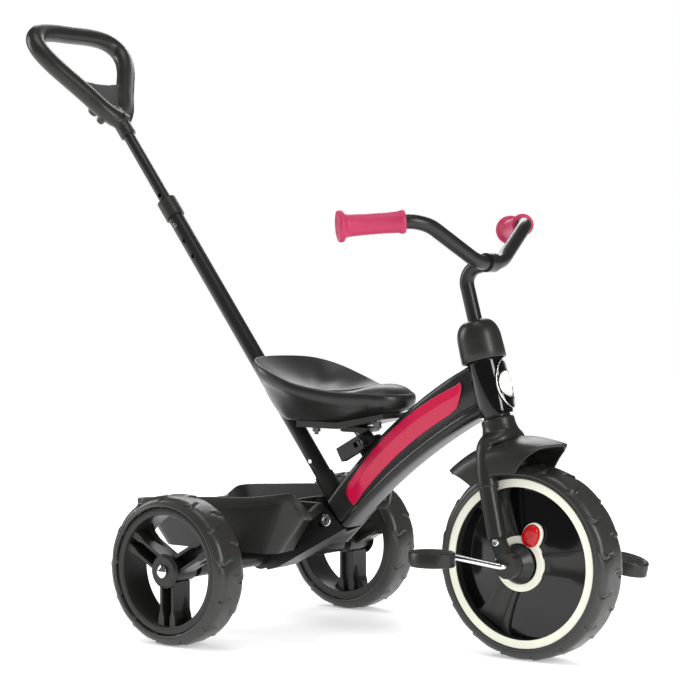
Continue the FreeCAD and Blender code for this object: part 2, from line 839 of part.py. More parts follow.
def build_hub_rings():
    """The white rings round the hub; the right one has a tab that carries the freewheel selector."""
    plain = ring("hub_ring", FRONT_AXLE, "XY_Plane", size.hub_ring_inner, size.spoke_plate_radius,
                 -size.spoke_face - size.hub_ring_depth, -size.spoke_face)
    tilt = Frame(FRONT_AXLE.x, FRONT_AXLE.z, -size.selector_angle)
    half_width = size.selector_width / 2
    end = size.selector_reach + size.selector_length / 2
    tab_face = size.spoke_face + size.selector_pad
    tab_half = half_width + size.selector_tab_edge
    tab_end = end + size.selector_travel + size.selector_tab_tip
    tab_start = size.hub_ring_inner + size.weld_lap
    tab = side_slab("selector_tab", tilt, [
        (tab_start, -tab_half), (tab_end, -tab_half), (tab_end, tab_half), (tab_start, tab_half)],
        size.spoke_face, tab_face)
    right = fuse("hub_ring_right", plain, tab)
    keep(group("hub_rings_body", right, mirror("hub_ring_left", plain)), "hub_rings")
    knob_start = size.spoke_plate_radius + size.selector_clearance
    keep(side_slab("selector_knob", tilt, [
        (knob_start, -half_width), (end, -half_width), (end, half_width), (knob_start, half_width)],
        tab_face + size.selector_seat, tab_face + size.selector_depth,
        {1: size.selector_curve, 3: -size.spoke_plate_radius}), "freewheel_selector")


def crank_points():
    """Where the crank rod turns, from the right pedal to the left one, from the front axle."""
    reach = size.crank_length.value
    rise = math.radians(size.crank_rise.value)
    arm = Vector(-reach * math.cos(rise), 0, reach * math.sin(rise))
    shoulder = size.crank_shoulder.value
    knee = shoulder + size.crank_flare.value
    tip = size.pedal_middle.value + size.pedal_width.value / 2 - size.crank_tip_gap.value
    right = [arm + Vector(0, -tip, 0), arm + Vector(0, -knee, 0), Vector(0, -shoulder, 0)]
    return right + [-point for point in reversed(right)]


def build_crank():
    points = crank_points()
    bends = [size.crank_bend.value] * (len(points) - 2)
    rod_shape = swept_rod(points, bends, size.crank_rod_radius.value)
    keep(shaped("crank_rod", FRONT_AXLE, rod_shape), "crank_axle")
    for side, label in ((-1, "right"), (1, "left")):
        build_pedal(side, label)


def build_pedal(side, label):
    arm_x = size.crank_length * cos_deg(size.crank_rise) * side
    arm_z = size.crank_length * sin_deg(size.crank_rise) * side
    frame = Frame(FRONT_AXLE.x + arm_x, FRONT_AXLE.z - arm_z, y=size.pedal_middle * side)
    half_length, half_width = size.pedal_length / 2, size.pedal_width / 2
    half_flat = size.pedal_flat / 2
    curve = size.pedal_curve
    pedal = padded(f"pedal_{label}", frame, "XY_Plane", [
        (half_length, 0.0), (half_flat, half_width), (-half_flat, half_width), (-half_length, 0.0),
        (-half_flat, -half_width), (half_flat, -half_width)], size.pedal_depth,
        {0: curve, 2: curve, 3: curve, 5: curve})
    bore = pedal.newObject("PartDesign::Groove", f"pedal_bore_{label}")
    fit = size.crank_rod_radius + size.running_gap
    mouth, bottom = (half_width + 1) * -side, (half_width - size.pedal_end_wall) * side
    low, high = (mouth, bottom) if side > 0 else (bottom, mouth)
    profile = outline(pedal, f"pedal_bore_profile_{label}", "XY_Plane", [
        (0.0, low), (fit, low), (fit, high), (0.0, high)])
    bore.Profile = profile
    bore.ReferenceAxis = (profile, ["V_Axis"])
    bore.Angle = 360
    keep(pedal, f"pedal_{label}")


# ---------------------------------------------------------------- steering head, fork and fender
def build_head():
    head = turned("head", STEERING, "XZ_Plane", [
        (size.head_bore_radius + size.seat_gap, size.head_start),
        (size.head_foot_radius, size.head_start), (size.head_radius, size.head_start + size.head_taper),
        (size.head_radius, size.head_top), (size.head_bore_radius + size.seat_gap, size.head_top)])
    middle = (size.head_start + size.head_top) / 2 + size.badge_rise
    root = size.head_radius - size.badge_root
    boss_face = size.head_radius + size.badge_boss
    almond = [(size.badge_width / 2, middle), (0.0, middle + size.badge_height / 2),
              (-size.badge_width / 2, middle), (0.0, middle - size.badge_height / 2)]
    arcs = {side: size.badge_curve for side in range(4)}
    boss_outline = outline(head, "badge_boss_outline", "YZ_Plane", almond, arcs, height=root)
    add_pad(head, boss_outline, boss_face - root, "badge_boss", midplane=False)
    keep(head, "head_tube")
    badge = new_body("badge", STEERING)
    badge_outline = outline(badge, "badge_outline", "YZ_Plane", almond, arcs, height=boss_face)
    add_pad(badge, badge_outline, size.badge_depth, "badge_pad", midplane=False)
    keep(badge, "head_badge")
    disc = new_body("badge_disc_body", STEERING)
    disc_face = boss_face + size.badge_depth
    disc_outline = circle(disc, "badge_disc_outline", "YZ_Plane", 0.0, middle, size.badge_disc_radius)
    disc_outline.AttachmentOffset = Placement(Vector(0, 0, disc_face.value), Rotation())
    bind(disc_outline, "AttachmentOffset.Base.z", disc_face)
    add_pad(disc, disc_outline, size.badge_depth / 2, "badge_disc_pad", midplane=False)
    keep(disc, "badge_disc")
    bore = size.steerer_radius + size.running_gap
    bushes = []
    for label, face, outward, rim in (("lower", size.head_start, -1, size.head_foot_radius),
                                      ("upper", size.head_top, 1, size.head_radius - 2)):
        flange = face + size.bush_flange * outward
        inner = face - size.bush_length * outward
        bushes.append(turned(f"headset_{label}", STEERING, "XZ_Plane", [
            (bore, inner), (size.head_bore_radius, inner), (size.head_bore_radius, face), (rim, face),
            (rim, flange), (bore, flange)]))
    keep(group("headset_bushes_body", *bushes), "headset_bushes")


def build_steerer():
    bore = size.stem_radius + size.seat_gap
    keep(ring("steerer", STEERING, "XZ_Plane", bore, size.steerer_radius, size.steerer_foot,
              size.steerer_top), "steerer_tube")
    crown_top = size.steerer_foot + size.crown_thickness
    neck_top = size.head_start - size.bush_flange - size.free_gap
    fit = size.steerer_radius + size.seat_gap
    keep(turned("crown_ring_body", STEERING, "XZ_Plane", [
        (fit, crown_top), (size.crown_ring_radius, crown_top),
        (size.crown_ring_radius, crown_top + size.crown_ring_flange),
        (size.crown_neck_radius, crown_top + size.crown_ring_flange + size.crown_ring_slope),
        (size.crown_neck_radius, neck_top), (fit, neck_top)]), "crown_ring")
    bell_foot = size.head_top + size.bush_flange + size.free_gap
    dome = size.bell_radius - size.bell_dome
    skirt_top = size.bell_radius - size.bell_taper
    keep(turned("bell", STEERING, "XZ_Plane", [
        (size.bell_radius - size.bell_wall, bell_foot), (size.bell_radius, bell_foot),
        (skirt_top, bell_foot + size.bell_skirt), (dome, size.bell_top - size.bell_shoulder),
        (fit + 1, size.bell_top), (fit, size.bell_top), (fit, size.bell_top - size.bell_collar),
        (dome - size.bell_wall, size.bell_top - size.bell_ceiling),
        (skirt_top - size.bell_wall, bell_foot + size.bell_skirt)]), "headset_cover")


def fork_axis(side):
    """The top and the foot of one leg's axis in the steering frame."""
    top = Vector(size.fork_top_offset.value, side * size.fork_top_spread.value, size.steerer_foot.value)
    foot = Vector(size.fork_foot_offset.value, side * size.fork_foot_spread.value, size.fork_foot.value)
    return top, foot


def along(start, end, height):
    """The point of a line that has the given local height."""
    share = (height - start.z) / (end.z - start.z)
    return start + (end - start) * share


def build_fork():
    leg = size.fork_leg_radius.value
    bore = leg - size.fork_leg_wall.value
    crown_foot = size.steerer_foot.value
    crown_top = crown_foot + size.crown_thickness.value
    sheath = leg + size.seat_gap.value + size.sheath_wall.value
    half_spread = size.fork_top_spread.value + sheath - 2
    half_depth = size.yoke_depth.value / 2
    thickness, lap = size.crown_thickness.value, size.weld_lap.value
    fit, reach = size.seat_gap.value, size.tool_reach.value
    yoke = Part.makeBox(2 * half_depth, 2 * half_spread, thickness,
                        Vector(-half_depth - size.yoke_shift.value, -half_spread, crown_foot))
    yoke = yoke.makeFillet(size.yoke_round.value, [edge for edge in yoke.Edges if edge.BoundBox.ZLength > 1])
    hollows = [cylinder_between(Vector(0, 0, crown_foot - thickness), Vector(0, 0, crown_top + thickness),
                                size.steerer_radius.value + fit)]
    for side in (-1, 1):
        top, foot = fork_axis(side)
        leg_top = along(top, foot, crown_foot - 1)
        sheath_foot = along(top, foot, size.sheath_foot.value)
        yoke = yoke.fuse(cylinder_between(along(top, foot, crown_foot + lap), sheath_foot, sheath))
        below = along(top, foot, size.sheath_foot.value - reach)
        hollows.append(cylinder_between(leg_top, below, leg + fit))
    keep(shaped("fork_crown_body", STEERING, yoke.cut(hollows).removeSplitter()), "fork_crown")
    top, foot = fork_axis(-1)
    leg_top = along(top, foot, crown_foot - 1 - 2 * fit)
    tube = cylinder_between(leg_top, foot, leg).cut(cylinder_between(leg_top, foot, bore))
    keep_both(shaped("fork_leg", STEERING, tube), "fork_legs")
    axis = (top - foot).normalize()
    plug = cylinder_between(foot - axis, foot + axis * size.fork_plug_length.value, bore - fit)
    near, far = size.fork_end_inner.value, size.fork_end_outer.value
    half_width = size.fork_end_width.value / 2
    arm_top = size.fork_foot.value - 1.0
    arm_x = size.fork_foot_offset.value
    corners = [Vector(-half_width - 2, -near, 0), Vector(half_width, -near, 0),
               Vector(arm_x + half_width, -near, arm_top), Vector(arm_x - half_width, -near, arm_top)]
    arm = Part.Face(Part.makePolygon(corners + corners[:1])).extrude(Vector(0, near - far, 0))
    leg_room = cylinder_between(foot - axis * 2 * fit, foot + axis * reach, leg + lap)
    boss = Part.makeCylinder(size.fork_boss_radius.value, size.fork_boss_outer.value - near + 1,
                             Vector(0, 1 - near, 0), Vector(0, -1, 0))
    crank_bore = cylinder_between(Vector(0, lap - near, 0), Vector(0, -far - reach, 0),
                                  size.crank_rod_radius.value + size.running_gap.value)
    screw_spot = Vector(arm_x + 2, -far, arm_top - size.fork_screw_drop.value)
    screw_hole = cylinder_between(Vector(screw_spot.x, lap - near, screw_spot.z),
                                  Vector(screw_spot.x, -far - reach, screw_spot.z),
                                  size.fork_screw_radius.value / 2 + fit)
    end = arm.cut(leg_room).fuse([boss, plug]).cut([crank_bore, screw_hole]).removeSplitter()
    keep_both(shaped("fork_end", STEERING, end), "fork_ends")
    head_depth = size.fork_screw_depth.value
    head = Part.makeCylinder(size.fork_screw_radius.value, head_depth, screw_spot, Vector(0, -1, 0))
    rim = [edge for edge in head.Edges if edge.BoundBox.YMax < screw_spot.y - head_depth / 2]
    head = head.makeFillet(head_depth / 2, rim)
    shank = Part.makeCylinder(size.fork_screw_radius.value / 2, far - near - 2, screw_spot, Vector(0, 1, 0))
    keep_both(shaped("fork_screw", STEERING, head.fuse(shank)), "fork_screws")
    keep_both(ring_cone("hub_shroud"), "hub_shrouds")


def ring_cone(name):
    inner_face = -size.fork_end_inner + 1 + size.seat_gap
    return turned(name, FRONT_AXLE, "XY_Plane", [
        (size.crank_rod_radius + size.seat_gap, inner_face),
        (size.fork_boss_radius + size.free_gap, inner_face),
        (size.shroud_radius, -size.shroud_inner - size.weld_lap), (size.shroud_radius, -size.shroud_inner),
        (size.crank_rod_radius + size.seat_gap, -size.shroud_inner)])


LEAF_SIDES = (1, 2, 4, 5)


def build_fender():
    """A curved sheet over the tyre: a section turned about the wheel's axle, trimmed to a pointed leaf."""
    crest, edge, half = size.fender_crest, size.fender_edge, size.fender_half_width
    wall = size.fender_wall
    sheet_body = turned("fender_sheet", STEERING, "XY_Plane", [
        (crest - wall, size.fender_flat), (crest, size.fender_flat), (edge, half),
        (edge - wall, half - wall / 2)], {1: size.fender_outer_curve, 3: -size.fender_inner_curve})
    flat = sheet_body.newObject("PartDesign::Revolution", "fender_crown")
    flat.Profile = outline(sheet_body, "fender_crown_profile", "XY_Plane", [
        (crest - wall, -size.fender_flat), (crest, -size.fender_flat), (crest, size.fender_flat),
        (crest - wall, size.fender_flat)])
    flat.ReferenceAxis = (flat.Profile[0], ["V_Axis"])
    flat.Angle = 360
    side = sheet_body.newObject("PartDesign::Revolution", "fender_side")
    side.Profile = outline(sheet_body, "fender_side_profile", "XY_Plane", [
        (crest - wall, -size.fender_flat), (edge - wall, -half + wall / 2), (edge, -half),
        (crest, -size.fender_flat)], {0: -size.fender_inner_curve, 2: size.fender_outer_curve})
    side.ReferenceAxis = (side.Profile[0], ["V_Axis"])
    side.Angle = 360
    reach, tip = size.fender_reach, size.fender_tip
    leaf = new_body("fender_leaf", STEERING)
    leaf_outline = outline(leaf, "fender_leaf_outline", "XY_Plane", [
        (reach, -tip), (reach, tip), (0.0, half + 1), (-reach, tip), (-reach, -tip), (0.0, -half - 1)],
        {side: size.fender_leaf_curve for side in LEAF_SIDES})
    add_pad(leaf, leaf_outline, crest + size.tool_reach, "fender_leaf_pad", midplane=False)
    trimmed = common("fender_trim", sheet_body, leaf)
    sheath = size.fork_leg_radius.value + size.seat_gap.value + size.sheath_wall.value + size.free_gap.value
    top, foot = fork_axis(-1)
    slot_top = along(top, foot, size.steerer_foot.value + size.tool_reach.value)
    slot_foot = along(top, foot, size.sheath_foot.value)
    slot = shaped("fender_slot", STEERING, cylinder_between(slot_top, slot_foot, sheath))
    keep(cut("fender", trimmed, slot, mirror("fender_slot_left", slot)), "front_fender")


# ---------------------------------------------------------------- stem, handlebar and grips
def bar_points():
    """The handlebar's corners from the right end to the left one, in the steering frame."""
    centre_x, centre_z = size.bar_x.value, size.bar_z.value
    half = [Vector(size.bar_end_x.value, -size.bar_end_spread.value, size.bar_end_z.value),
            Vector(size.bar_knee_x.value, -size.bar_knee_spread.value, size.bar_knee_z.value),
            Vector(centre_x, -size.bar_straight.value, centre_z)]
    return half + [Vector(point.x, -point.y, point.z) for point in reversed(half)]


def build_handlebar():
    points = bar_points()
    knee, centre = size.bar_knee_bend.value, size.bar_centre_bend.value
    bends = [knee, centre, centre, knee]
    outer = swept_rod(points, bends, size.bar_radius.value)
    inner = swept_rod(points, bends, size.bar_radius.value - size.bar_wall.value)
    keep(shaped("handlebar_tube", STEERING, outer.cut(inner)), "handlebar")
    radius = size.stem_radius.value
    foot = Vector(0, 0, size.stem_foot.value)
    corner = Vector(0, 0, size.bar_z.value)
    bar = Vector(size.bar_x.value, 0, size.bar_z.value)
    stem = swept_rod([foot, corner, bar], [size.stem_bend.value], radius)
    sleeve_wall = size.stem_sleeve_wall.value
    hollow = swept_rod([foot, corner, bar - Vector(size.bar_radius.value + sleeve_wall, 0, 0)],
                       [size.stem_bend.value], radius - size.stem_wall.value)
    half_sleeve = Vector(0, size.stem_sleeve.value / 2, 0)
    fit = size.bar_radius.value + size.seat_gap.value
    sleeve = cylinder_between(bar - half_sleeve, bar + half_sleeve, fit + sleeve_wall)
    bore = cylinder_between(bar - half_sleeve, bar + half_sleeve, fit)
    keep(shaped("stem_body", STEERING, stem.cut(hollow).fuse(sleeve).cut(bore).removeSplitter()), "stem")
    end, knee_point = points[0], points[1]
    outward = (end - knee_point).normalize()
    length, end_wall = size.grip_length.value, size.grip_end_wall.value
    start = end - outward * (length - end_wall)
    finish = end + outward * end_wall
    flange_start = finish - outward * size.grip_flange.value
    flange = cylinder_between(flange_start, finish, size.grip_flange_radius.value)
    grip = cylinder_between(start, finish, size.grip_radius.value).fuse(flange)
    grip = grip.cut(cylinder_between(start, end + outward * size.seat_gap.value, fit))
    keep_both(shaped("grip", STEERING, grip), "grips")


# ---------------------------------------------------------------- beam, inlays and rear bracket
def build_beam():
    beam = padded("beam", GROUND, "XZ_Plane", [
        (size.beam_top_foot_x, size.beam_top_foot_z), (size.beam_low_foot_x, size.beam_low_foot_z),
        (size.beam_low_front_x, size.beam_low_front_z), (size.beam_top_front_x, size.beam_top_front_z)],
        size.beam_width, {1: -size.beam_low_curve, 3: size.beam_top_curve})
    doc.recompute()
    pad = beam.Tip
    long_edges = [f"Edge{number}" for number, edge in enumerate(pad.Shape.Edges, start=1)
                  if edge.Curve.TypeId == "Part::GeomCircle"]
    rounding = beam.newObject("PartDesign::Fillet", "beam_rounding")
    rounding.Base = (pad, long_edges)
    bind(rounding, "Radius", size.beam_round)
    wall = size.beam_wall
    hollow = padded("beam_hollow", GROUND, "XZ_Plane", [
        (size.beam_top_foot_x + size.hollow_foot_inset, size.beam_top_foot_z - size.hollow_foot_inset),
        (size.beam_low_foot_x - size.hollow_low_shift, size.beam_low_foot_z + size.hollow_low_rise),
        (size.beam_low_front_x - size.hollow_front_inset, size.beam_low_front_z - size.hollow_front_drop),
        (size.beam_top_front_x - size.hollow_top_inset, size.beam_top_front_z - size.hollow_top_drop)],
        size.beam_width - 2 * wall, {1: -size.beam_low_curve, 3: size.beam_top_curve})
    inlay_corners = [
        (size.inlay_top_front_x, size.inlay_top_front_z), (size.inlay_top_foot_x, size.inlay_top_foot_z),
        (size.inlay_heel_x, size.inlay_heel_z), (size.inlay_tip_x, size.inlay_tip_z),
        (size.inlay_low_front_x, size.inlay_low_front_z)]
    arcs = {0: -size.inlay_top_curve, 1: -size.inlay_heel_curve, 3: size.inlay_low_curve}
    recess_floor = size.beam_width / 2 - size.inlay_recess
    recess = side_slab("inlay_recess_body", GROUND, inlay_corners, recess_floor, size.beam_width, arcs)
    inlay = side_slab("inlay", GROUND, inlay_corners, recess_floor, recess_floor + size.inlay_depth, arcs)
    head_room = rod("beam_head_room", STEERING, "XZ_Plane", size.head_radius + size.seat_gap,
                    size.head_start - size.tool_reach, size.head_top + size.tool_reach)
    socket_room = rod("beam_socket_room", PUSH_BAR, "XZ_Plane", size.push_collar_radius + size.free_gap,
                      -size.push_socket_depth - size.tool_reach, size.push_collar_length + size.tool_reach)
    post_room = rod("beam_post_room", SEAT_POST, "XZ_Plane",
                    size.post_radius + size.running_gap + size.post_socket_wall + size.seat_gap,
                    -size.post_insert - 2, size.post_socket_top + size.tool_reach)
    shell = cut("main_beam_shape", beam, hollow, recess, mirror("inlay_recess_left", recess), head_room,
                socket_room, post_room)
    keep(shell, "main_beam")
    keep_both(inlay, "inlays")


def build_bracket():
    collar = size.bracket_collar
    block = padded("bracket", GROUND, "XZ_Plane", [
        (size.bracket_top_rear_x, size.rear_wheel_radius + size.axle_tube_radius - 1),
        (0.0, size.rear_wheel_radius),
        (size.bracket_low_rear_x - size.bracket_heel, size.bracket_low_rear_z - size.bracket_heel_drop),
        (size.bracket_low_rear_x, size.bracket_low_rear_z),
        (size.bracket_low_front_x, size.bracket_low_front_z),
        (size.bracket_top_front_x, size.bracket_top_front_z), (size.bracket_shelf_x, size.bracket_shelf_z)],
        size.bracket_width)
    collar_body = new_body("bracket_collar", GROUND)
    add_pad(collar_body, circle(collar_body, "bracket_collar_outline", "XZ_Plane", 0.0, size.rear_wheel_radius,
                                collar), size.bracket_width, "bracket_collar_pad")
    top = doc.addObject("Part::Box", "bracket_top_room")
    GROUND.place(top)
    bind(top, "Placement.Base.x", GROUND.x - size.tool_reach)
    bind(top, "Placement.Base.y", -size.bracket_width)
    bind(top, "Placement.Base.z", size.rear_wheel_radius + size.axle_tube_radius)
    for side, dim in (("Length", size.bracket_shelf_x + size.tool_reach), ("Width", size.bracket_width * 2),
                      ("Height", size.tool_reach * 2)):
        bind(top, side, dim)
    axle_room = rod("bracket_axle_room", REAR_AXLE, "XY_Plane", size.axle_tube_radius + size.seat_gap,
                    -size.bracket_width, size.bracket_width)
    socket_room = rod("bracket_socket_room", PUSH_BAR, "XZ_Plane", size.push_socket_radius + size.seat_gap,
                      -size.push_socket_depth - size.tool_reach, size.push_collar_length + size.tool_reach)
    bolt_frame = Frame(size.rear_axle_x + size.bracket_bolt_x, size.bracket_bolt_z)
    bolt_room = rod("bracket_bolt_room", bolt_frame, "XY_Plane", size.bracket_bolt_radius + size.seat_gap,
                    -size.bracket_width, size.bracket_width)
    whole = fuse("bracket_whole", block, collar_body)
    keep(cut("rear_bracket_shape", whole, top, axle_room, socket_room, bolt_room), "rear_bracket")
    half = size.bracket_width / 2
    bolt = turned("bolt", bolt_frame, "XY_Plane", [
        (0.0, -half - size.bracket_bolt_cap), (size.bracket_bolt_head - 2, -half - size.bracket_bolt_cap),
        (size.bracket_bolt_head, -half - size.bracket_bolt_cap + 2), (size.bracket_bolt_head, -half),
        (size.bracket_bolt_radius, -half), (size.bracket_bolt_radius, half), (size.bracket_bolt_head, half),
        (size.bracket_bolt_head, half + size.bracket_bolt_cap), (0.0, half + size.bracket_bolt_cap)])
    keep(bolt, "bracket_bolt")


# ---------------------------------------------------------------- push bar and its handle
def build_push_bar():
    spigot_fit = size.push_spigot_radius + size.running_gap
    keep(ring("push_socket_body", PUSH_BAR, "XZ_Plane", spigot_fit, size.push_socket_radius,
              -size.push_socket_depth, -size.free_gap), "push_socket")
    upper_fit = size.push_upper_radius + size.running_gap
    tube = turned("push_tube", PUSH_BAR, "XZ_Plane", [
        (upper_fit, -size.push_spigot), (size.push_spigot_radius, -size.push_spigot),
        (size.push_spigot_radius, 0.0), (size.push_tube_radius, 0.0),
        (size.push_tube_radius, size.push_tube_length), (upper_fit, size.push_tube_length)])
    holes = [drilled(f"push_hole_{number}", size.button_height - size.button_pitch * number)
             for number in range(int(size.push_hole_count.value))]
    keep(cut("push_lower_shape", tube, *holes), "push_lower_tube")
    keep(ring("push_collar_body", PUSH_BAR, "XZ_Plane", size.push_tube_radius + size.seat_gap,
              size.push_collar_radius, 0.0, size.push_collar_length), "push_collar")
    keep(ring("sleeve", PUSH_BAR, "XZ_Plane", size.push_tube_radius + size.seat_gap, size.sleeve_radius,
              size.sleeve_start, size.sleeve_start + size.sleeve_length), "push_sleeve")
    screw = side_stud("push_screw_body", size.push_screw_height, size.push_screw_radius,
                      size.push_tube_radius, size.push_tube_radius + size.push_screw_head)
    keep(screw, "push_screw")
    upper_start = size.push_tube_length - size.push_upper_overlap
    upper = ring("upper_tube", PUSH_BAR, "XZ_Plane", size.push_upper_radius - size.push_upper_wall,
                 size.push_upper_radius, upper_start, upper_start + size.push_upper_length)
    upper_holes = [drilled(f"upper_hole_{number}", size.button_height + size.button_pitch * number)
                   for number in range(int(size.push_hole_count.value))]
    keep(cut("push_upper_shape", upper, *upper_holes), "push_upper_tube")
    keep(side_stud("button", size.button_height, size.button_radius, upper_fit,
                   size.push_tube_radius + size.button_stand), "height_button")


def side_stud(name, height, radius, inner, outer):
    """A round stud across the push bar's axis, on the rider's right."""
    body = new_body(name, PUSH_BAR)
    sketch = circle(body, f"{name}_outline", "XZ_Plane", 0.0, height, radius)
    sketch.AttachmentOffset = Placement(Vector(0, 0, inner.value), Rotation())
    bind(sketch, "AttachmentOffset.Base.z", inner)
    add_pad(body, sketch, outer - inner, f"{name}_pad", midplane=False)
    return body


def drilled(name, height):
    return side_stud(name, height, size.push_hole_radius, size.push_upper_radius - size.drill_depth,
                     size.push_tube_radius + size.drill_depth)


def build_handle():
    neck_start, neck_length = size.handle_neck_start.value, size.handle_neck_length.value
    fork, top = size.handle_fork.value, size.handle_top.value
    half = size.handle_half_width.value
    radius = size.handle_tube_radius.value
    corners = [Vector(0, 0, fork), Vector(0, -half, top), Vector(0, half, top)]
    keep(shaped("handle_loop_body", PUSH_BAR, handle_loop(corners, radius, neck_start, neck_length)),
         "push_handle")


def handle_loop(corners, radius, neck_start, neck_length):
    """A rounded triangle of tube on a neck that is bored for the upper tube."""
    apex, right, left = corners
    start = (right + left) * 0.5
    bends = [size.handle_corner_bend.value, size.handle_fork_bend.value, size.handle_corner_bend.value]
    half_loop = rounded_wire([start, right, apex, left, start], bends)
    section = Part.Wire([Part.makeCircle(radius, start, Vector(0, 1, 0))])
    loop = half_loop.makePipeShell([section], True, False)
    neck_end, neck_radius = neck_start + neck_length, size.handle_neck_radius.value
    neck_top = Vector(0, 0, neck_end + size.handle_neck_lap.value)
    neck = cylinder_between(Vector(0, 0, neck_start), neck_top, neck_radius)
    web_top = size.handle_web_top.value
    spread = size.handle_half_width.value * (web_top - apex.z) / (right.z - apex.z)
    depth, web_foot = size.handle_web.value, neck_end - size.handle_web_root.value
    web_corners = [Vector(depth / 2, -neck_radius, web_foot), Vector(depth / 2, neck_radius, web_foot),
                   Vector(depth / 2, spread, web_top), Vector(depth / 2, -spread, web_top)]
    thickness = Vector(-depth - size.handle_web_back.value, 0, 0)
    web = Part.Face(Part.makePolygon(web_corners + web_corners[:1])).extrude(thickness)
    bore = cylinder_between(Vector(0, 0, neck_start), Vector(0, 0, neck_end),
                            size.push_upper_radius.value + size.seat_gap.value)
    return loop.fuse([neck, web]).cut(bore).removeSplitter()


# ---------------------------------------------------------------- basket
def tub_corners(rear, front, half, corner):
    """A rounded rectangle, with its rounding as arcs between the straight sides."""
    return [(rear + corner, -half), (front - corner, -half), (front, -half + corner),
            (front, half - corner), (front - corner, half), (rear + corner, half), (rear, half - corner),
            (rear, -half + corner)]


ROUNDED_SIDES = (1, 3, 5, 7)


def tub(name, floor_height, inset):
    """A tapering tub from its floor to its rim, drawn in by inset."""
    body = new_body(name, GROUND)
    corner = size.basket_corner
    arcs = {side: corner for side in ROUNDED_SIDES}
    floor = outline(body, f"{name}_floor", "XY_Plane", tub_corners(
        size.basket_floor_rear + inset, size.basket_floor_front - inset, size.basket_floor_half - inset,
        corner), arcs, height=floor_height)
    rim = outline(body, f"{name}_rim", "XY_Plane", tub_corners(
        size.basket_rim_rear + inset, size.basket_rim_front - inset, size.basket_rim_half - inset, corner),
        arcs, height=size.basket_rim_z)
    loft = body.newObject("PartDesign::AdditiveLoft", f"{name}_loft")
    loft.Profile = floor
    loft.Sections = [rim]
    loft.Ruled = True
    return body


def block(name, x_start, x_end, half_width, z_start, z_end):
    box = doc.addObject("Part::Box", name)
    for prop, dim in (("Length", x_end - x_start), ("Width", half_width * 2), ("Height", z_end - z_start),
                      ("Placement.Base.x", size.rear_axle_x + x_start),
                      ("Placement.Base.y", -half_width), ("Placement.Base.z", z_start)):
        bind(box, prop, Dim.of(dim))
    return box


def build_basket():
    floor = size.rear_wheel_radius + size.axle_tube_radius + size.basket_seat_gap
    wall = size.basket_wall
    outer = tub("basket_outer", floor, Dim(0.0))
    inner = tub("basket_inner", floor + wall, wall)
    beyond = size.basket_rim_front + size.basket_top_margin
    above, below = size.basket_rim_z + size.basket_top_margin, floor - size.basket_top_margin
    behind = size.basket_rim_rear - size.basket_top_margin
    kept_recess = block("basket_recess_walls", size.recess_start - wall, beyond, size.recess_half + wall,
                        below, above)
    recess = block("basket_recess", size.recess_start, beyond, size.recess_half, below, above)
    shell = cut("basket_shell", outer, cut("basket_cavity", inner, kept_recess), recess)
    top = padded("basket_top_room", GROUND, "XZ_Plane", [
        (behind, size.basket_rear_lip),
        (size.basket_rim_rear + size.basket_rear_shelf, size.basket_rear_lip),
        (size.basket_side_rear_x, size.basket_side_rear_z),
        (beyond, size.basket_rim_z - size.basket_front_drop),
        (beyond, above), (behind, above)], (size.basket_rim_half + size.basket_top_margin) * 2)
    front = block("basket_front_room", size.basket_front_cut, beyond, size.basket_front_half,
                  size.basket_front_lip, above)
    keep(cut("basket_shape", shell, top, front), "basket")
    screw = Frame(size.rear_axle_x, floor + wall, y=-size.basket_screw_y)
    head = rod("basket_screw", screw, "XZ_Plane", size.basket_screw_radius, 0.0, size.basket_screw_head)
    keep(group("basket_screws_body", head, mirror("basket_screw_left", head)), "basket_screws")


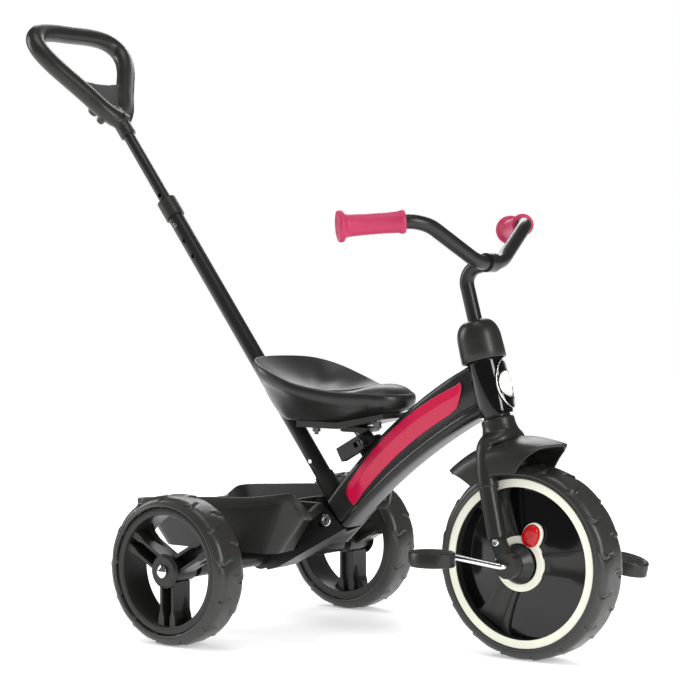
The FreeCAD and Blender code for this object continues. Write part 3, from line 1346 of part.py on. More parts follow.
# ---------------------------------------------------------------- seat, its post and clamp
def build_seat():
    socket_bore = size.post_radius + size.running_gap
    socket_outer = socket_bore + size.post_socket_wall
    keep(ring("socket", SEAT_POST, "XZ_Plane", socket_bore, socket_outer, -size.post_insert,
              size.post_socket_top), "seat_post_socket")
    clamp_fit = socket_outer + size.seat_gap
    clamp_end = size.clamp_start + size.clamp_height
    ring_body = ring("clamp", SEAT_POST, "XZ_Plane", clamp_fit, clamp_fit + size.clamp_wall,
                     size.clamp_start, clamp_end)
    keep(ring_body, "seat_clamp")
    floor = size.seat_floor
    low = floor - size.pan_depth
    drop = size.post_radius * sin_deg(size.post_lean)
    post_top = (floor - size.free_gap - drop - size.post_z) / cos_deg(size.post_lean)
    keep(ring("post", SEAT_POST, "XZ_Plane", size.post_radius - size.post_wall, size.post_radius,
              -size.post_insert, post_top), "seat_post")
    pan_rise, half = size.pan_front_rise, size.pan_half_width
    bend_x, wide_x = size.pan_rear + size.pan_flat, size.pan_rear + size.pan_wide
    front_half = half - size.pan_front_narrowing
    pan = padded("pan_side", GROUND, "XZ_Plane", [
        (size.pan_rear, low), (bend_x, low), (size.pan_front, low + pan_rise + size.pan_front_thinning),
        (size.pan_front, floor + pan_rise), (bend_x, floor), (size.pan_rear, floor)], half * 2)
    plan = padded("pan_plan", GROUND, "XY_Plane", [
        (size.pan_rear, -half), (wide_x, -half), (size.pan_front, -front_half), (size.pan_front, front_half),
        (wide_x, half), (size.pan_rear, half)], (floor + size.tool_reach) * 2)
    post_room = rod("pan_post_room", SEAT_POST, "XZ_Plane", size.post_radius + size.seat_gap, 0.0,
                    post_top + size.seat_gap)
    wedge = fuse("pan_and_wedge", common("pan_common", pan, plan), seat_wedge(low))
    keep(cut("pan_shape", wedge, post_room), "seat_base_pan")
    build_cushion(floor)
    bolts = []
    nut_radius = size.seat_nut_radius
    slope = (pan_rise + size.pan_front_thinning) / (size.pan_front - bend_x)
    rear_x, front_x = size.pan_rear + size.pan_bolt_rear, size.pan_front - size.pan_bolt_front
    front_rise = slope * (front_x - nut_radius - bend_x) - size.seat_gap
    for number, (x, rise) in enumerate(((rear_x, -size.seat_gap), (front_x, front_rise))):
        frame = Frame(size.rear_axle_x + x, low + rise, y=-size.seat_bolt_spread)
        bolt = turned(f"seat_bolt_{number}", frame, "XZ_Plane", [
            (0.0, -size.seat_bolt_length), (size.seat_bolt_radius, -size.seat_bolt_length),
            (size.seat_bolt_radius, -size.seat_nut_depth), (nut_radius, -size.seat_nut_depth),
            (nut_radius, 0.0), (0.0, 0.0)])
        bolts += [bolt, mirror(f"seat_bolt_left_{number}", bolt)]
    keep(group("seat_bolts_body", *bolts), "seat_bolts")


def seat_wedge(low):
    """The block under the pan that the post is fixed in."""
    foot = low - size.seat_block_height
    middle = size.post_x - (low - size.post_z) * sin_deg(size.post_lean) / cos_deg(size.post_lean)
    return padded("seat_wedge", GROUND, "XZ_Plane", [
        (middle - size.seat_block_rear, low + 1), (middle - size.seat_block_foot_rear, foot),
        (middle + size.seat_block_foot_front, foot), (middle + size.seat_block_front, low + 1)],
        size.seat_block_width)


def build_cushion(floor):
    nose, back = size.seat_nose_x, size.seat_back_x
    nose_z, top, half = size.seat_nose_z, size.seat_back_top, size.seat_half_width
    seat = floor + size.cushion_lap
    front_seat = seat + size.pan_front_rise
    side = padded("cushion_side", GROUND, "XZ_Plane", [
        (back + size.cushion_back_width, top), (back + size.cushion_back_step, top - size.cushion_back_fall),
        (back + size.cushion_dish, nose_z + size.cushion_dish_rise),
        (nose - size.cushion_nose_start, nose_z + size.cushion_nose_rise),
        (nose - size.cushion_nose_curve, nose_z + size.cushion_nose_brow), (nose, nose_z),
        (nose - size.cushion_nose_floor, front_seat + size.cushion_nose_lip), (size.pan_front, front_seat),
        (size.pan_rear + size.pan_flat, seat), (back + size.cushion_back_step, seat),
        (back + size.cushion_rear_foot, floor + size.cushion_rear_foot_rise),
        (back + size.cushion_rear_wall, floor + size.cushion_rear_wall_rise),
        (back, top - size.cushion_rear_edge)], half * 2)
    right = [
        (nose, size.cushion_nose_tip), (nose - size.cushion_nose_shoulder, size.cushion_nose_half),
        (back + size.cushion_wide_end, half - size.cushion_taper), (back + size.cushion_wide_start, half),
        (back + size.cushion_back_width, half - size.cushion_corner)]
    left = [(x, -y) for x, y in reversed(right)]
    plan = padded("cushion_plan", GROUND, "XY_Plane", right + [(back, 0.0)] + left,
                  (top + size.tool_reach) * 2)
    keep(common("cushion_shape", side, plan), "seat_cushion")


def build_lever():
    inner, outer = size.lever_inner, size.lever_inner + size.lever_depth
    half = size.lever_height / 2
    rear, front = size.lever_pin_inset - size.lever_length, size.lever_pin_inset
    corners = [(rear, -half), (front, -half), (front, half), (rear, half)]
    slab = side_slab("lever", LEVER, corners, inner, outer)
    middle = (inner + outer) / 2
    pin_frame = Frame(LEVER.x, LEVER.z, LEVER.tilt, y=-middle)
    eye = size.lever_eye_height / 2
    slot_half = eye + size.lever_slot_gap
    slot_rear, slot_front = -size.lever_eye_radius - size.lever_slot_depth, front + 2
    slot = side_slab("lever_slot", LEVER, [
        (slot_rear, -slot_half), (slot_front, -slot_half), (slot_front, slot_half), (slot_rear, slot_half)],
        inner - 2, outer + 2)
    pin_room = rod("lever_pin_room", pin_frame, "XZ_Plane", size.lever_pin_radius + size.running_gap, -half - 1,
                   half + 1)
    keep(cut("lever_shape", slab, slot, pin_room), "seat_clamp_lever")
    keep(rod("lever_pin_body", pin_frame, "XZ_Plane", size.lever_pin_radius, -half, half), "lever_pin")
    eye_ring = rod("lever_eye", pin_frame, "XZ_Plane", size.lever_eye_radius, -eye, eye)
    shank = rod("lever_shank", LEVER, "XY_Plane", size.lever_shank_radius, -middle, -size.lever_shank_start)
    room = rod("lever_eye_room", pin_frame, "XZ_Plane", size.lever_pin_radius + size.seat_gap, -half, half)
    clamp_outer = (size.post_radius + size.running_gap + size.post_socket_wall + size.seat_gap
                   + size.clamp_wall)
    clamp_room = rod("lever_clamp_room", SEAT_POST, "XZ_Plane", clamp_outer + size.seat_gap, -size.tool_reach,
                     size.tool_reach)
    whole = fuse("lever_bolt_whole", eye_ring, shank)
    keep(cut("lever_bolt_shape", whole, room, clamp_room), "seat_clamp_bolt")


def build_all():
    for build in (build_rear_axle, build_rear_wheel, build_front_wheel, build_hub_rings, build_crank, build_head,
                  build_steerer, build_fork, build_fender, build_handlebar, build_beam, build_bracket,
                  build_push_bar, build_handle, build_basket, build_seat, build_lever):
        build()
    doc.recompute()


def check_document():
    """Stop on any failed object, and on any sub-part without a sound shape."""
    for item in doc.Objects:
        if {"Invalid", "Error"} & set(item.State):
            raise RuntimeError(f"{item.Label} failed: {item.State}")
    for item in PIECES:
        if item.Shape.isNull() or not item.Shape.isValid() or not item.Shape.Solids:
            raise RuntimeError(f"{item.Label} has no sound shape")


def export_pieces():
    os.makedirs("parts", exist_ok=True)
    for item in PIECES:
        item.Shape.exportStep(os.path.join("parts", f"{item.Label}.step"))


build_all()
check_document()
export_pieces()
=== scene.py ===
import json
import math

import bmesh
import bpy
from bpy.props import FloatProperty, FloatVectorProperty, IntProperty, PointerProperty
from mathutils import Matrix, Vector


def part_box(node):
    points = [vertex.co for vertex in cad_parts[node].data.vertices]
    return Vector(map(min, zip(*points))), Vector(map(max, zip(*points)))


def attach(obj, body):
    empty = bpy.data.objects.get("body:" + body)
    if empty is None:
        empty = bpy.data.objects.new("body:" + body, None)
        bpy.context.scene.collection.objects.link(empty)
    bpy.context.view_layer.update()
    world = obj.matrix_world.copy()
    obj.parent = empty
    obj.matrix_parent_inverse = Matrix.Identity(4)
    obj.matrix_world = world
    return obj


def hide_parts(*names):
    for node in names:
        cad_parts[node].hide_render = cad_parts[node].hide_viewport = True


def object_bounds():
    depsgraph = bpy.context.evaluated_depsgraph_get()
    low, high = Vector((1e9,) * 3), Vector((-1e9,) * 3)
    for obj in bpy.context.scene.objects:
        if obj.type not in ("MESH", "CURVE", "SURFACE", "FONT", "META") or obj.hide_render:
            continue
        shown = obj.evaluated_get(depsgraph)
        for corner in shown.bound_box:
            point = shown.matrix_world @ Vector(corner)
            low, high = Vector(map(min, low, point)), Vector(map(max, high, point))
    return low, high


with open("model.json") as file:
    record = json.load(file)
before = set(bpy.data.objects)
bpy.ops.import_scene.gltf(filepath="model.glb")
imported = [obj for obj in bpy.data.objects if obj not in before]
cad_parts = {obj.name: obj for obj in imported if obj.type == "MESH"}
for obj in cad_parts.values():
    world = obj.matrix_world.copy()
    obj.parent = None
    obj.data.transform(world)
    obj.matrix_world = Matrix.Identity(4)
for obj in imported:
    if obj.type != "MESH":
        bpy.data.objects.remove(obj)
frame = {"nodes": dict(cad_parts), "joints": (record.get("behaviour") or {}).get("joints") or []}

bl_info = {
    "name": "Children's tricycle looks",
    "version": (1, 0, 0),
    "blender": (4, 5, 0),
    "location": "3D View > Sidebar > Tricycle",
    "description": "Puts finishes and finely shaped pieces on a packed children's tricycle",
    "category": "Object",
}

CAD_LOW, CAD_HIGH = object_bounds()
TURN = 2 * math.pi
MM = 0.001


# ---------------------------------------------------------------- places
def joint(name):
    """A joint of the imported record, by its name."""
    return next(entry for entry in frame["joints"] if entry["name"] == name)


def middle_of(node):
    low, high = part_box(node)
    return (low + high) / 2


class Place:
    """Local axes in millimetres: x forward, y to the rider's left, z along up."""

    def __init__(self, origin, up=(0, 0, 1)):
        self.origin = Vector(origin)
        self.up = Vector(up).normalized()
        self.forward = Vector((self.up.z, 0, -self.up.x))
        self.left = Vector((0, 1, 0))

    def at(self, x, y, z):
        return self.origin + MM * (x * self.forward + y * self.left + z * self.up)

    def polar(self, radius, angle, y):
        """A point round the local y axis; angle 0 is forward and a quarter turn is up."""
        return self.at(radius * math.cos(angle), y, radius * math.sin(angle))

    def leaning(self, angle):
        """The same origin, with z turned to an angle from forward."""
        return Place(self.origin, self.forward * math.cos(angle) + self.up * math.sin(angle))


REAR_AXLE = middle_of("rear_axle")
GROUND = Place((REAR_AXLE.x, 0, 0))
FRONT_WHEEL = Place(joint("front_wheel_spin")["pos_m"])
STEERING = Place(joint("steering_turn")["pos_m"], joint("steering_turn")["axis"])
PUSH_FOOT = (117.9, 197.0)
PUSH_BAR = Place(GROUND.at(PUSH_FOOT[0], 0, PUSH_FOOT[1]), joint("push_bar_lift")["axis"])
WHEEL_SIDES = {"right": Place(joint("rear_wheel_right_spin")["pos_m"]),
               "left": Place(joint("rear_wheel_left_spin")["pos_m"])}


# ---------------------------------------------------------------- settings
def linear(red, green, blue):
    """A display colour of 0 to 255 as linear light."""
    return tuple(pow((value / 255 + 0.055) / 1.055, 2.4) if value > 10 else value / 255 / 12.92
                 for value in (red, green, blue))


def colour(name, description, *display):
    return FloatVectorProperty(name=name, description=description, subtype="COLOR", size=3, min=0, max=1,
                               default=linear(*display))


def factor(name, description, default):
    return FloatProperty(name=name, description=description, subtype="FACTOR", min=0, max=1, default=default)


def length(name, description, default):
    return FloatProperty(name=name, description=description, subtype="DISTANCE", unit="LENGTH", min=0,
                         default=default)


class TrikeFinishes(bpy.types.PropertyGroup):
    paint: colour("Frame paint", "Matte black powder paint of the beam and tubes", 27, 28, 27)
    plastic: colour("Plastic", "Black moulded plastic of the fork, basket and wheels", 34, 35, 33)
    gloss: colour("Gloss black", "High gloss black of the head tube and wheel dishes", 10, 10, 11)
    rubber: colour("Tyres", "Black rubber of the tyres", 42, 43, 41)
    seat: colour("Seat", "Black skin of the saddle", 22, 22, 21)
    crimson: colour("Side panels", "Glossy crimson of the beam's side panels", 184, 12, 62)
    cream: colour("Wheel rings", "Cream white of the wheel and hub rings", 232, 232, 216)
    red: colour("Selector", "Red of the freewheel selector", 178, 8, 16)
    pink: colour("Grips", "Pink rubber of the handlebar grips", 172, 40, 80)
    paint_roughness: factor("Paint roughness", "How dull the frame's paint is", 0.32)
    plastic_roughness: factor("Plastic roughness", "How dull the moulded plastic is", 0.34)
    rubber_roughness: factor("Tyre roughness", "How dull the tyres are", 0.34)
    seat_roughness: factor("Seat roughness", "How dull the saddle is", 0.36)


class TrikeShapes(bpy.types.PropertyGroup):
    tread_depth: length("Tread depth", "Depth of the notches across the tyres' shoulders", 0.0023)
    front_notches: IntProperty(name="Front notches", description="Notches round each shoulder of the front tyre",
                               default=16, min=3)
    rear_notches: IntProperty(name="Rear notches", description="Notches round each shoulder of a rear tyre",
                              default=13, min=3)
    panel_crown: length("Panel crown", "How far the crimson panels stand out at their ridge", 0.0020)
    rim_band: length("Basket rim band", "Height of the band round the basket's rim", 0.018)
    fender_sheet: length("Fender sheet", "Thickness of the front fender", 0.0028)


class TrikeStudio(bpy.types.PropertyGroup):
    focal: FloatProperty(name="Focal length", description="Lens of the camera", unit="CAMERA", default=115.1)
    backdrop: FloatProperty(name="Backdrop", description="Brightness of the plain background", default=1.0)
    surround: FloatProperty(name="Surround", description="Light that comes from all round", default=0.80)
    mirrored_surround: FloatProperty(name="Mirrored surround", description="Surround as it shows in glossy parts",
                                     default=0.12)
    top_light: FloatProperty(name="Top light", description="Light overhead", unit="POWER", default=14)
    front_light: FloatProperty(name="Front light", description="Light at the front of the tricycle",
                               unit="POWER", default=36)
    fill_light: FloatProperty(name="Fill light", description="Light at the back right of the tricycle",
                              unit="POWER", default=34)
    rim_light: FloatProperty(name="Rim light", description="Light behind the tricycle", unit="POWER", default=30)
    floor: colour("Floor", "Colour of the floor", 250, 250, 250)
    floor_glow: FloatProperty(name="Floor glow", description="Light that the floor gives off", default=0.36)


# ---------------------------------------------------------------- shader expressions
class Wire:
    """A shader socket that Python's operators work on: each one adds its Math node."""

    def __init__(self, finish, socket):
        self.finish = finish
        self.socket = socket

    def maths(self, operation, *values):
        return self.finish.node("ShaderNodeMath", {"operation": operation}, dict(enumerate(values)))

    def __add__(self, other):
        return self.maths("ADD", self, other)

    def __radd__(self, other):
        return self.maths("ADD", other, self)

    def __sub__(self, other):
        return self.maths("SUBTRACT", self, other)

    def __mul__(self, other):
        return self.maths("MULTIPLY", self, other)

    def between(self, low, high):
        """0 up to low, 1 from high on, and smooth between them."""
        return self.finish.node("ShaderNodeMapRange", {"interpolation_type": "SMOOTHSTEP"},
                                {"Value": self, "From Min": low, "From Max": high})


class Finish:
    """A material with its node tree, the surface shader and the one method that adds other nodes."""

    def __init__(self, name):
        self.material = bpy.data.materials.new(name)
        self.material.use_nodes = True
        self.tree = self.material.node_tree
        self.tree.nodes.clear()
        self.shader = self.tree.nodes.new("ShaderNodeBsdfPrincipled")
        output = self.tree.nodes.new("ShaderNodeOutputMaterial")
        self.tree.links.new(self.shader.outputs["BSDF"], output.inputs["Surface"])

    def node(self, kind, settings=None, inputs=None, output=0):
        made = self.tree.nodes.new(kind)
        for setting, value in (settings or {}).items():
            setattr(made, setting, value)
        for key, value in (inputs or {}).items():
            self.feed(made.inputs[key], value)
        return Wire(self, made.outputs[output])

    def feed(self, socket, value):
        if isinstance(value, Wire):
            self.tree.links.new(value.socket, socket)
        else:
            socket.default_value = value

    def surface(self, **inputs):
        for name, value in inputs.items():
            self.feed(self.shader.inputs[name.replace("_", " ")], value)

    def spots(self, stretch=(1, 1, 1)):
        """The piece's own coordinates, stretched along its axes."""
        place = self.node("ShaderNodeTexCoord", output="Object")
        return self.node("ShaderNodeVectorMath", {"operation": "MULTIPLY"}, {0: place, 1: stretch})

    def noise(self, scale, detail=2.0, stretch=(1, 1, 1)):
        return self.node("ShaderNodeTexNoise", {}, {"Vector": self.spots(stretch), "Scale": scale,
                                                    "Detail": detail})

    def cells(self, scale, stretch=(1, 1, 1)):
        return self.node("ShaderNodeTexVoronoi", {}, {"Vector": self.spots(stretch), "Scale": scale})

    def mix(self, amount, first, second):
        return self.node("ShaderNodeMix", {"data_type": "RGBA"},
                         {0: amount, 6: first, 7: second}, output=2)

    def bumped(self, height, strength, distance, edge):
        """Fine relief on edges that are softened by a small radius."""
        soft = self.node("ShaderNodeBevel", {"samples": 4}, {"Radius": edge})
        return self.node("ShaderNodeBump", {}, {"Height": height, "Strength": strength,
                                                "Distance": distance, "Normal": soft})


def shade(rgb, share):
    """A colour made darker or lighter, with full opacity."""
    return tuple(min(1.0, channel * share) for channel in rgb) + (1.0,)


def moulded(name, rgb, roughness, grain=900.0, relief=0.12, spread=0.18, edge=0.6, **constants):
    """A finish with cloudy tone, fine grain, faint scuffs that catch the light and softened edges."""
    finish = Finish(name)
    clouds = finish.noise(14.0, 3.0)
    fine = finish.noise(grain, 2.0)
    scuffs = finish.noise(55.0, 5.0, (1, 1, 6)).between(0.60, 0.78)
    tone = finish.mix(clouds, shade(rgb, 1 - spread), shade(rgb, 1 + spread))
    finish.surface(Base_Color=finish.mix(scuffs * 0.10, tone, shade(rgb, 1.0 + 2.5 * spread)),
                   Roughness=roughness + (clouds - 0.5) * 0.16 + scuffs * 0.08 + (fine - 0.5) * 0.06,
                   Normal=finish.bumped(fine, relief, 0.0004, edge * MM), Specular_IOR_Level=0.38, **constants)
    return finish.material


def pebbled(name, rgb, roughness):
    """A soft moulded skin with a fine leather grain."""
    finish = Finish(name)
    clouds = finish.noise(9.0, 3.0)
    grain = finish.cells(620.0)
    pores = finish.noise(1500.0, 2.0)
    worn = finish.noise(24.0, 4.0).between(0.55, 0.75)
    tone = finish.mix(clouds, shade(rgb, 0.82), shade(rgb, 1.22))
    finish.surface(Base_Color=finish.mix(worn * 0.15, tone, shade(rgb, 1.6)),
                   Roughness=roughness + (clouds - 0.5) * 0.18 + grain * 0.05,
                   Normal=finish.bumped(grain * 0.7 + pores * 0.3, 0.10, 0.0004, 0.3 * MM),
                   Sheen_Weight=0.12, Sheen_Roughness=0.45)
    return finish.material


def rubbered(name, rgb, roughness):
    """Tyre rubber: a skin with a soft shine, fine relief and a little dust."""
    finish = Finish(name)
    clouds = finish.noise(18.0, 4.0)
    fine = finish.noise(700.0, 3.0)
    dust = finish.noise(90.0, 5.0).between(0.58, 0.80)
    tone = finish.mix(clouds, shade(rgb, 0.80), shade(rgb, 1.25))
    finish.surface(Base_Color=finish.mix(dust * 0.12, tone, shade(rgb, 2.2)),
                   Roughness=roughness + (clouds - 0.5) * 0.20 + dust * 0.12,
                   Normal=finish.bumped(fine, 0.16, 0.0005, 0.3 * MM))
    return finish.material


def plated(name, rgb, roughness):
    """Polished or zinc plated steel with hairline scratches and faint clouding."""
    finish = Finish(name)
    clouds = finish.noise(40.0, 3.0)
    hairlines = finish.noise(260.0, 2.0, (1, 12, 12))
    finish.surface(Base_Color=finish.mix(clouds, shade(rgb, 0.86), shade(rgb, 1.0)), Metallic=1.0,
                   Roughness=roughness + (clouds - 0.5) * 0.08 + (hairlines - 0.5) * 0.06,
                   Normal=finish.bumped(hairlines, 0.04, 0.0002, 0.4 * MM))
    return finish.material


def lacquered(name, rgb, roughness, **constants):
    """Colour under a clear gloss coat, with very faint orange peel."""
    finish = Finish(name)
    clouds = finish.noise(10.0, 2.0)
    peel = finish.noise(240.0, 1.0)
    finish.surface(Base_Color=finish.mix(clouds, shade(rgb, 0.92), shade(rgb, 1.08)),
                   Roughness=roughness + (clouds - 0.5) * 0.06,
                   Normal=finish.bumped(peel, 0.02, 0.0003, 0.5 * MM),
                   Coat_Weight=0.3, Coat_Roughness=0.04, Specular_IOR_Level=0.34, **constants)
    return finish.material


FINISHES = {}


def make_finishes(colours):
    """Every finish, under the name of the record's material slot it belongs to."""
    FINISHES.update({
        "matte_black_paint": moulded("matte_black_paint", colours.paint, colours.paint_roughness,
                                     grain=700.0, relief=0.012, spread=0.12),
        "black_plastic": moulded("black_plastic", colours.plastic, colours.plastic_roughness, relief=0.015),
        "gloss_black_paint": lacquered("gloss_black_paint", colours.gloss, 0.08),
        "gloss_black_plastic": lacquered("gloss_black_plastic", colours.gloss, 0.10),
        "bare_steel": plated("bare_steel", (0.13, 0.13, 0.13), 0.28),
        "chrome_plate": plated("chrome_plate", (0.86, 0.87, 0.88), 0.12),
        "tyre_rubber": rubbered("tyre_rubber", colours.rubber, colours.rubber_roughness),
        "cream_plastic": moulded("cream_plastic", colours.cream, 0.36, relief=0.05, spread=0.05),
        "red_plastic": lacquered("red_plastic", colours.red, 0.22),
        "crimson_panel": lacquered("crimson_panel", colours.crimson, 0.24),
        "pink_grip": moulded("pink_grip", colours.pink, 0.48, grain=1100.0, relief=0.14, spread=0.08),
        "seat_foam": pebbled("seat_foam", colours.seat, colours.seat_roughness),
    })


# ---------------------------------------------------------------- mesh helpers
def skin(rings, loop=False):
    """Faces between closed rings of points: the last ring meets the first in a loop, or both ends are closed."""
    mesh = bmesh.new()
    rows = [[mesh.verts.new(point) for point in ring] for ring in rings]
    pairs = list(zip(rows, rows[1:])) + ([(rows[-1], rows[0])] if loop else [])
    for first, second in pairs:
        for index, vertex in enumerate(first):
            after = (index + 1) % len(first)
            mesh.faces.new((vertex, first[after], second[after], second[index]))
    if not loop:
        mesh.faces.new(list(reversed(rows[0])))
        mesh.faces.new(rows[-1])
    return mesh


def sheet(rows):
    """Faces between open rows of points."""
    mesh = bmesh.new()
    grid = [[mesh.verts.new(point) for point in row] for row in rows]
    for first, second in zip(grid, grid[1:]):
        for index in range(len(first) - 1):
            mesh.faces.new((first[index], first[index + 1], second[index + 1], second[index]))
    return mesh


def joined(*meshes):
    """One mesh that holds them all."""
    whole = bmesh.new()
    for part in meshes:
        data = bpy.data.meshes.new("part")
        part.to_mesh(data)
        part.free()
        whole.from_mesh(data)
        bpy.data.meshes.remove(data)
    return whole


def piece(name, mesh, slot, body, stands_for=(), bevel=0.0, levels=0, crease_angle=38):
    """Makes an object of the mesh, with its finish, its body and the nodes it stands for."""
    bmesh.ops.remove_doubles(mesh, verts=mesh.verts, dist=1e-6)
    bmesh.ops.recalc_face_normals(mesh, faces=mesh.faces)
    data = bpy.data.meshes.new(name)
    mesh.to_mesh(data)
    mesh.free()
    made = bpy.data.objects.new(name, data)
    bpy.context.scene.collection.objects.link(made)
    data.materials.append(FINISHES[slot])
    data.shade_smooth()
    if levels:
        smooth = made.modifiers.new("subdivision", "SUBSURF")
        smooth.levels = levels
        smooth.render_levels = levels
    else:
        data.set_sharp_from_angle(angle=math.radians(crease_angle))
    if bevel:
        rounding = made.modifiers.new("rounding", "BEVEL")
        rounding.width = bevel * MM
        rounding.segments = 2
        rounding.limit_method = "ANGLE"
        rounding.angle_limit = math.radians(crease_angle)
        rounding.harden_normals = True
    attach(made, body)
    if stands_for:
        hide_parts(*stands_for)
    return made


def remeshed(made, voxel, rounds):
    """Joins overlapping solids into one moulded skin."""
    merge = made.modifiers.new("merge", "REMESH")
    merge.mode = "VOXEL"
    merge.voxel_size = voxel * MM
    merge.use_smooth_shade = True
    relax = made.modifiers.new("relax", "SMOOTH")
    relax.factor = 0.5
    relax.iterations = rounds


def circle(steps):
    """The angles of a full turn in even steps."""
    return [TURN * step / steps for step in range(steps)]


def hoop(centre, radius, first, second, steps):
    """Points round a centre, in the plane of two directions."""
    return [centre + MM * radius * (math.cos(turn) * first + math.sin(turn) * second) for turn in circle(steps)]


def lathe(place, profile, steps=96, shift=None):
    """A closed profile of (radius, y) turned about the place's y axis; shift moves a point out by radius."""
    return skin([[place.polar(radius + (shift(angle, radius, y) if shift else 0), angle, y) for radius, y in profile]
                 for angle in circle(steps)], loop=True)


def upright(place, profile, steps=72):
    """A closed profile of (radius, z) turned about the place's z axis."""
    return skin([[place.at(radius * math.cos(angle), radius * math.sin(angle), z) for radius, z in profile]
                 for angle in circle(steps)], loop=True)


def barrel(start, end, stations, steps=32):
    """A turned bar from start to end, in metres, with stations of (share of the length, radius in mm)."""
    start, end = Vector(start), Vector(end)
    along = (end - start).normalized()
    across = along.orthogonal().normalized()
    other = along.cross(across)
    return skin([hoop(start.lerp(end, share), radius, across, other, steps) for share, radius in stations])


def tube(points, radius, steps=32):
    """A round bar along a row of places on the fork, in metres."""
    rings = []
    for index, point in enumerate(points):
        way = (points[min(index + 1, len(points) - 1)] - points[max(index - 1, 0)]).normalized()
        front = STEERING.forward.cross(way).cross(way).normalized()
        rings.append(hoop(point, radius, front, way.cross(front), steps))
    return skin(rings)


def superellipse(value, power):
    """A power of the size of a number, with its sign kept."""
    return math.copysign(abs(value) ** power, value)


def smooth_step(low, high, value):
    share = min(1.0, max(0.0, (value - low) / (high - low)))
    return share * share * (3 - 2 * share)


def between(table, value):
    """A smooth reading of a table of (place, number) pairs; its slopes follow the neighbouring pairs."""
    if value <= table[0][0]:
        return table[0][1]
    if value >= table[-1][0]:
        return table[-1][1]
    index = next(spot for spot in range(len(table) - 1) if value <= table[spot + 1][0])
    (low, first), (high, second) = table[index], table[index + 1]
    before, after = table[max(index - 1, 0)], table[min(index + 2, len(table) - 1)]
    span = high - low
    slope_in = (second - before[1]) / (high - before[0]) * span
    slope_out = (after[1] - first) / (after[0] - low) * span
    share = (value - low) / span
    rest = 1 - share
    return (first * (1 + 2 * share) * rest ** 2 + slope_in * share * rest ** 2
            + second * (3 - 2 * share) * share ** 2 - slope_out * rest * share ** 2)


def mirrored(points):
    """An outline in (radius, y) from its right half: the other half follows with y turned round."""
    return points + [(radius, -y) for radius, y in reversed(points)]


def swept(centre, spoke, sweep, steps):
    """Points on an arc: a spoke of its centre, turned through a sweep."""
    points = []
    for step in range(steps + 1):
        turn = sweep * step / steps
        points.append(centre + Vector((spoke.x * math.cos(turn) - spoke.y * math.sin(turn),
                                       spoke.x * math.sin(turn) + spoke.y * math.cos(turn))))
    return points


def rounded_path(corners, radii, steps=8):
    """A closed path through corners in a plane, each rounded by its own radius."""
    path = []
    for index, corner in enumerate(corners):
        corner = Vector(corner)
        before = (Vector(corners[index - 1]) - corner).normalized()
        after = (Vector(corners[(index + 1) % len(corners)]) - corner).normalized()
        half = before.angle(after) / 2
        reach = radii[index] / math.tan(half)
        centre = corner + (before + after).normalized() * radii[index] / math.sin(half)
        first, last = corner + before * reach - centre, corner + after * reach - centre
        path += swept(centre, first, -first.angle_signed(last), steps)
    return path


def arc_between(start, end, radius, steps):
    """Points on an arc from start to end that bulges to the left of its way."""
    start, end = Vector(start), Vector(end)
    chord = end - start
    normal = Vector((-chord.y, chord.x)).normalized()
    centre = (start + end) / 2 - normal * math.sqrt(radius ** 2 - chord.length_squared / 4)
    return swept(centre, start - centre, -(start - centre).angle_signed(end - centre), steps)


# ---------------------------------------------------------------- finishes of the frame's own parts
NODE_SLOTS = {
    "matte_black_paint": ("rear_axle_tube", "main_beam", "rear_bracket", "push_socket", "push_lower_tube",
                          "push_upper_tube", "stem", "handlebar", "steerer_tube", "seat_post_socket"),
    "black_plastic": ("rear_axle_bushes", "headset_cover", "headset_bushes", "crown_ring", "fork_crown", "fork_legs",
                      "fork_ends", "hub_shrouds", "rear_hub_cap_right", "rear_hub_cap_left", "push_collar",
                      "push_sleeve", "seat_clamp", "basket", "front_rim", "seat_base_pan", "front_hub_bush"),
    "gloss_black_paint": ("head_tube",),
    "gloss_black_plastic": ("seat_clamp_lever",),
    "bare_steel": ("rear_axle", "lever_pin", "seat_bolts", "seat_clamp_bolt", "basket_screws", "seat_post"),
    "chrome_plate": ("rear_axle_nuts", "bracket_bolt", "head_badge", "fork_screws", "crank_axle", "push_screw",
                     "height_button"),
    "cream_plastic": ("badge_disc", "wheel_rings", "hub_rings"),
    "red_plastic": ("freewheel_selector",),
}


class TRIKE_OT_frame_finishes(bpy.types.Operator):
    """Put each finish on the frame's own parts"""
    bl_idname = "trike.frame_finishes"
    bl_label = "Frame finishes"

    def execute(self, context):
        make_finishes(context.scene.trike_finishes)
        for slot, nodes in NODE_SLOTS.items():
            for node in nodes:
                for place in frame["nodes"][node].material_slots:
                    place.material = FINISHES[slot]
        return {"FINISHED"}


# ---------------------------------------------------------------- tyres
SHOULDER_RISE, SHOULDER_REACH = 13.0, 15.0
FRONT_TYRE = (127.0, 111.0, 57.0)  # radius, bore, width
REAR_TYRE = (102.0, 87.4, 54.0)
STEPS_PER_NOTCH = 50


def tyre_profile(radius, bore, half):
    """The tyre's outline: a bead, a thin rib on the sidewall, a groove, the round shoulder and the crown."""
    shoulder = half - SHOULDER_REACH
    side = [(bore, -half + 3.0), (bore, -half + 0.6), (bore + 0.8, -half - 0.3), (bore + 2.6, -half - 0.3),
            (bore + 3.3, -half + 0.5), (bore + 4.0, -half + 0.5)]
    for step in range(1, 12):
        turn = math.pi / 2 * step / 11
        side.append((radius - SHOULDER_RISE + SHOULDER_RISE * math.sin(turn) ** 0.9,
                     -shoulder - SHOULDER_REACH * math.cos(turn) ** 0.9))
    side = [spot for spot in side if spot[0] >= bore]
    return mirrored(side + [(radius, -shoulder * 0.6), (radius, -shoulder * 0.2)])


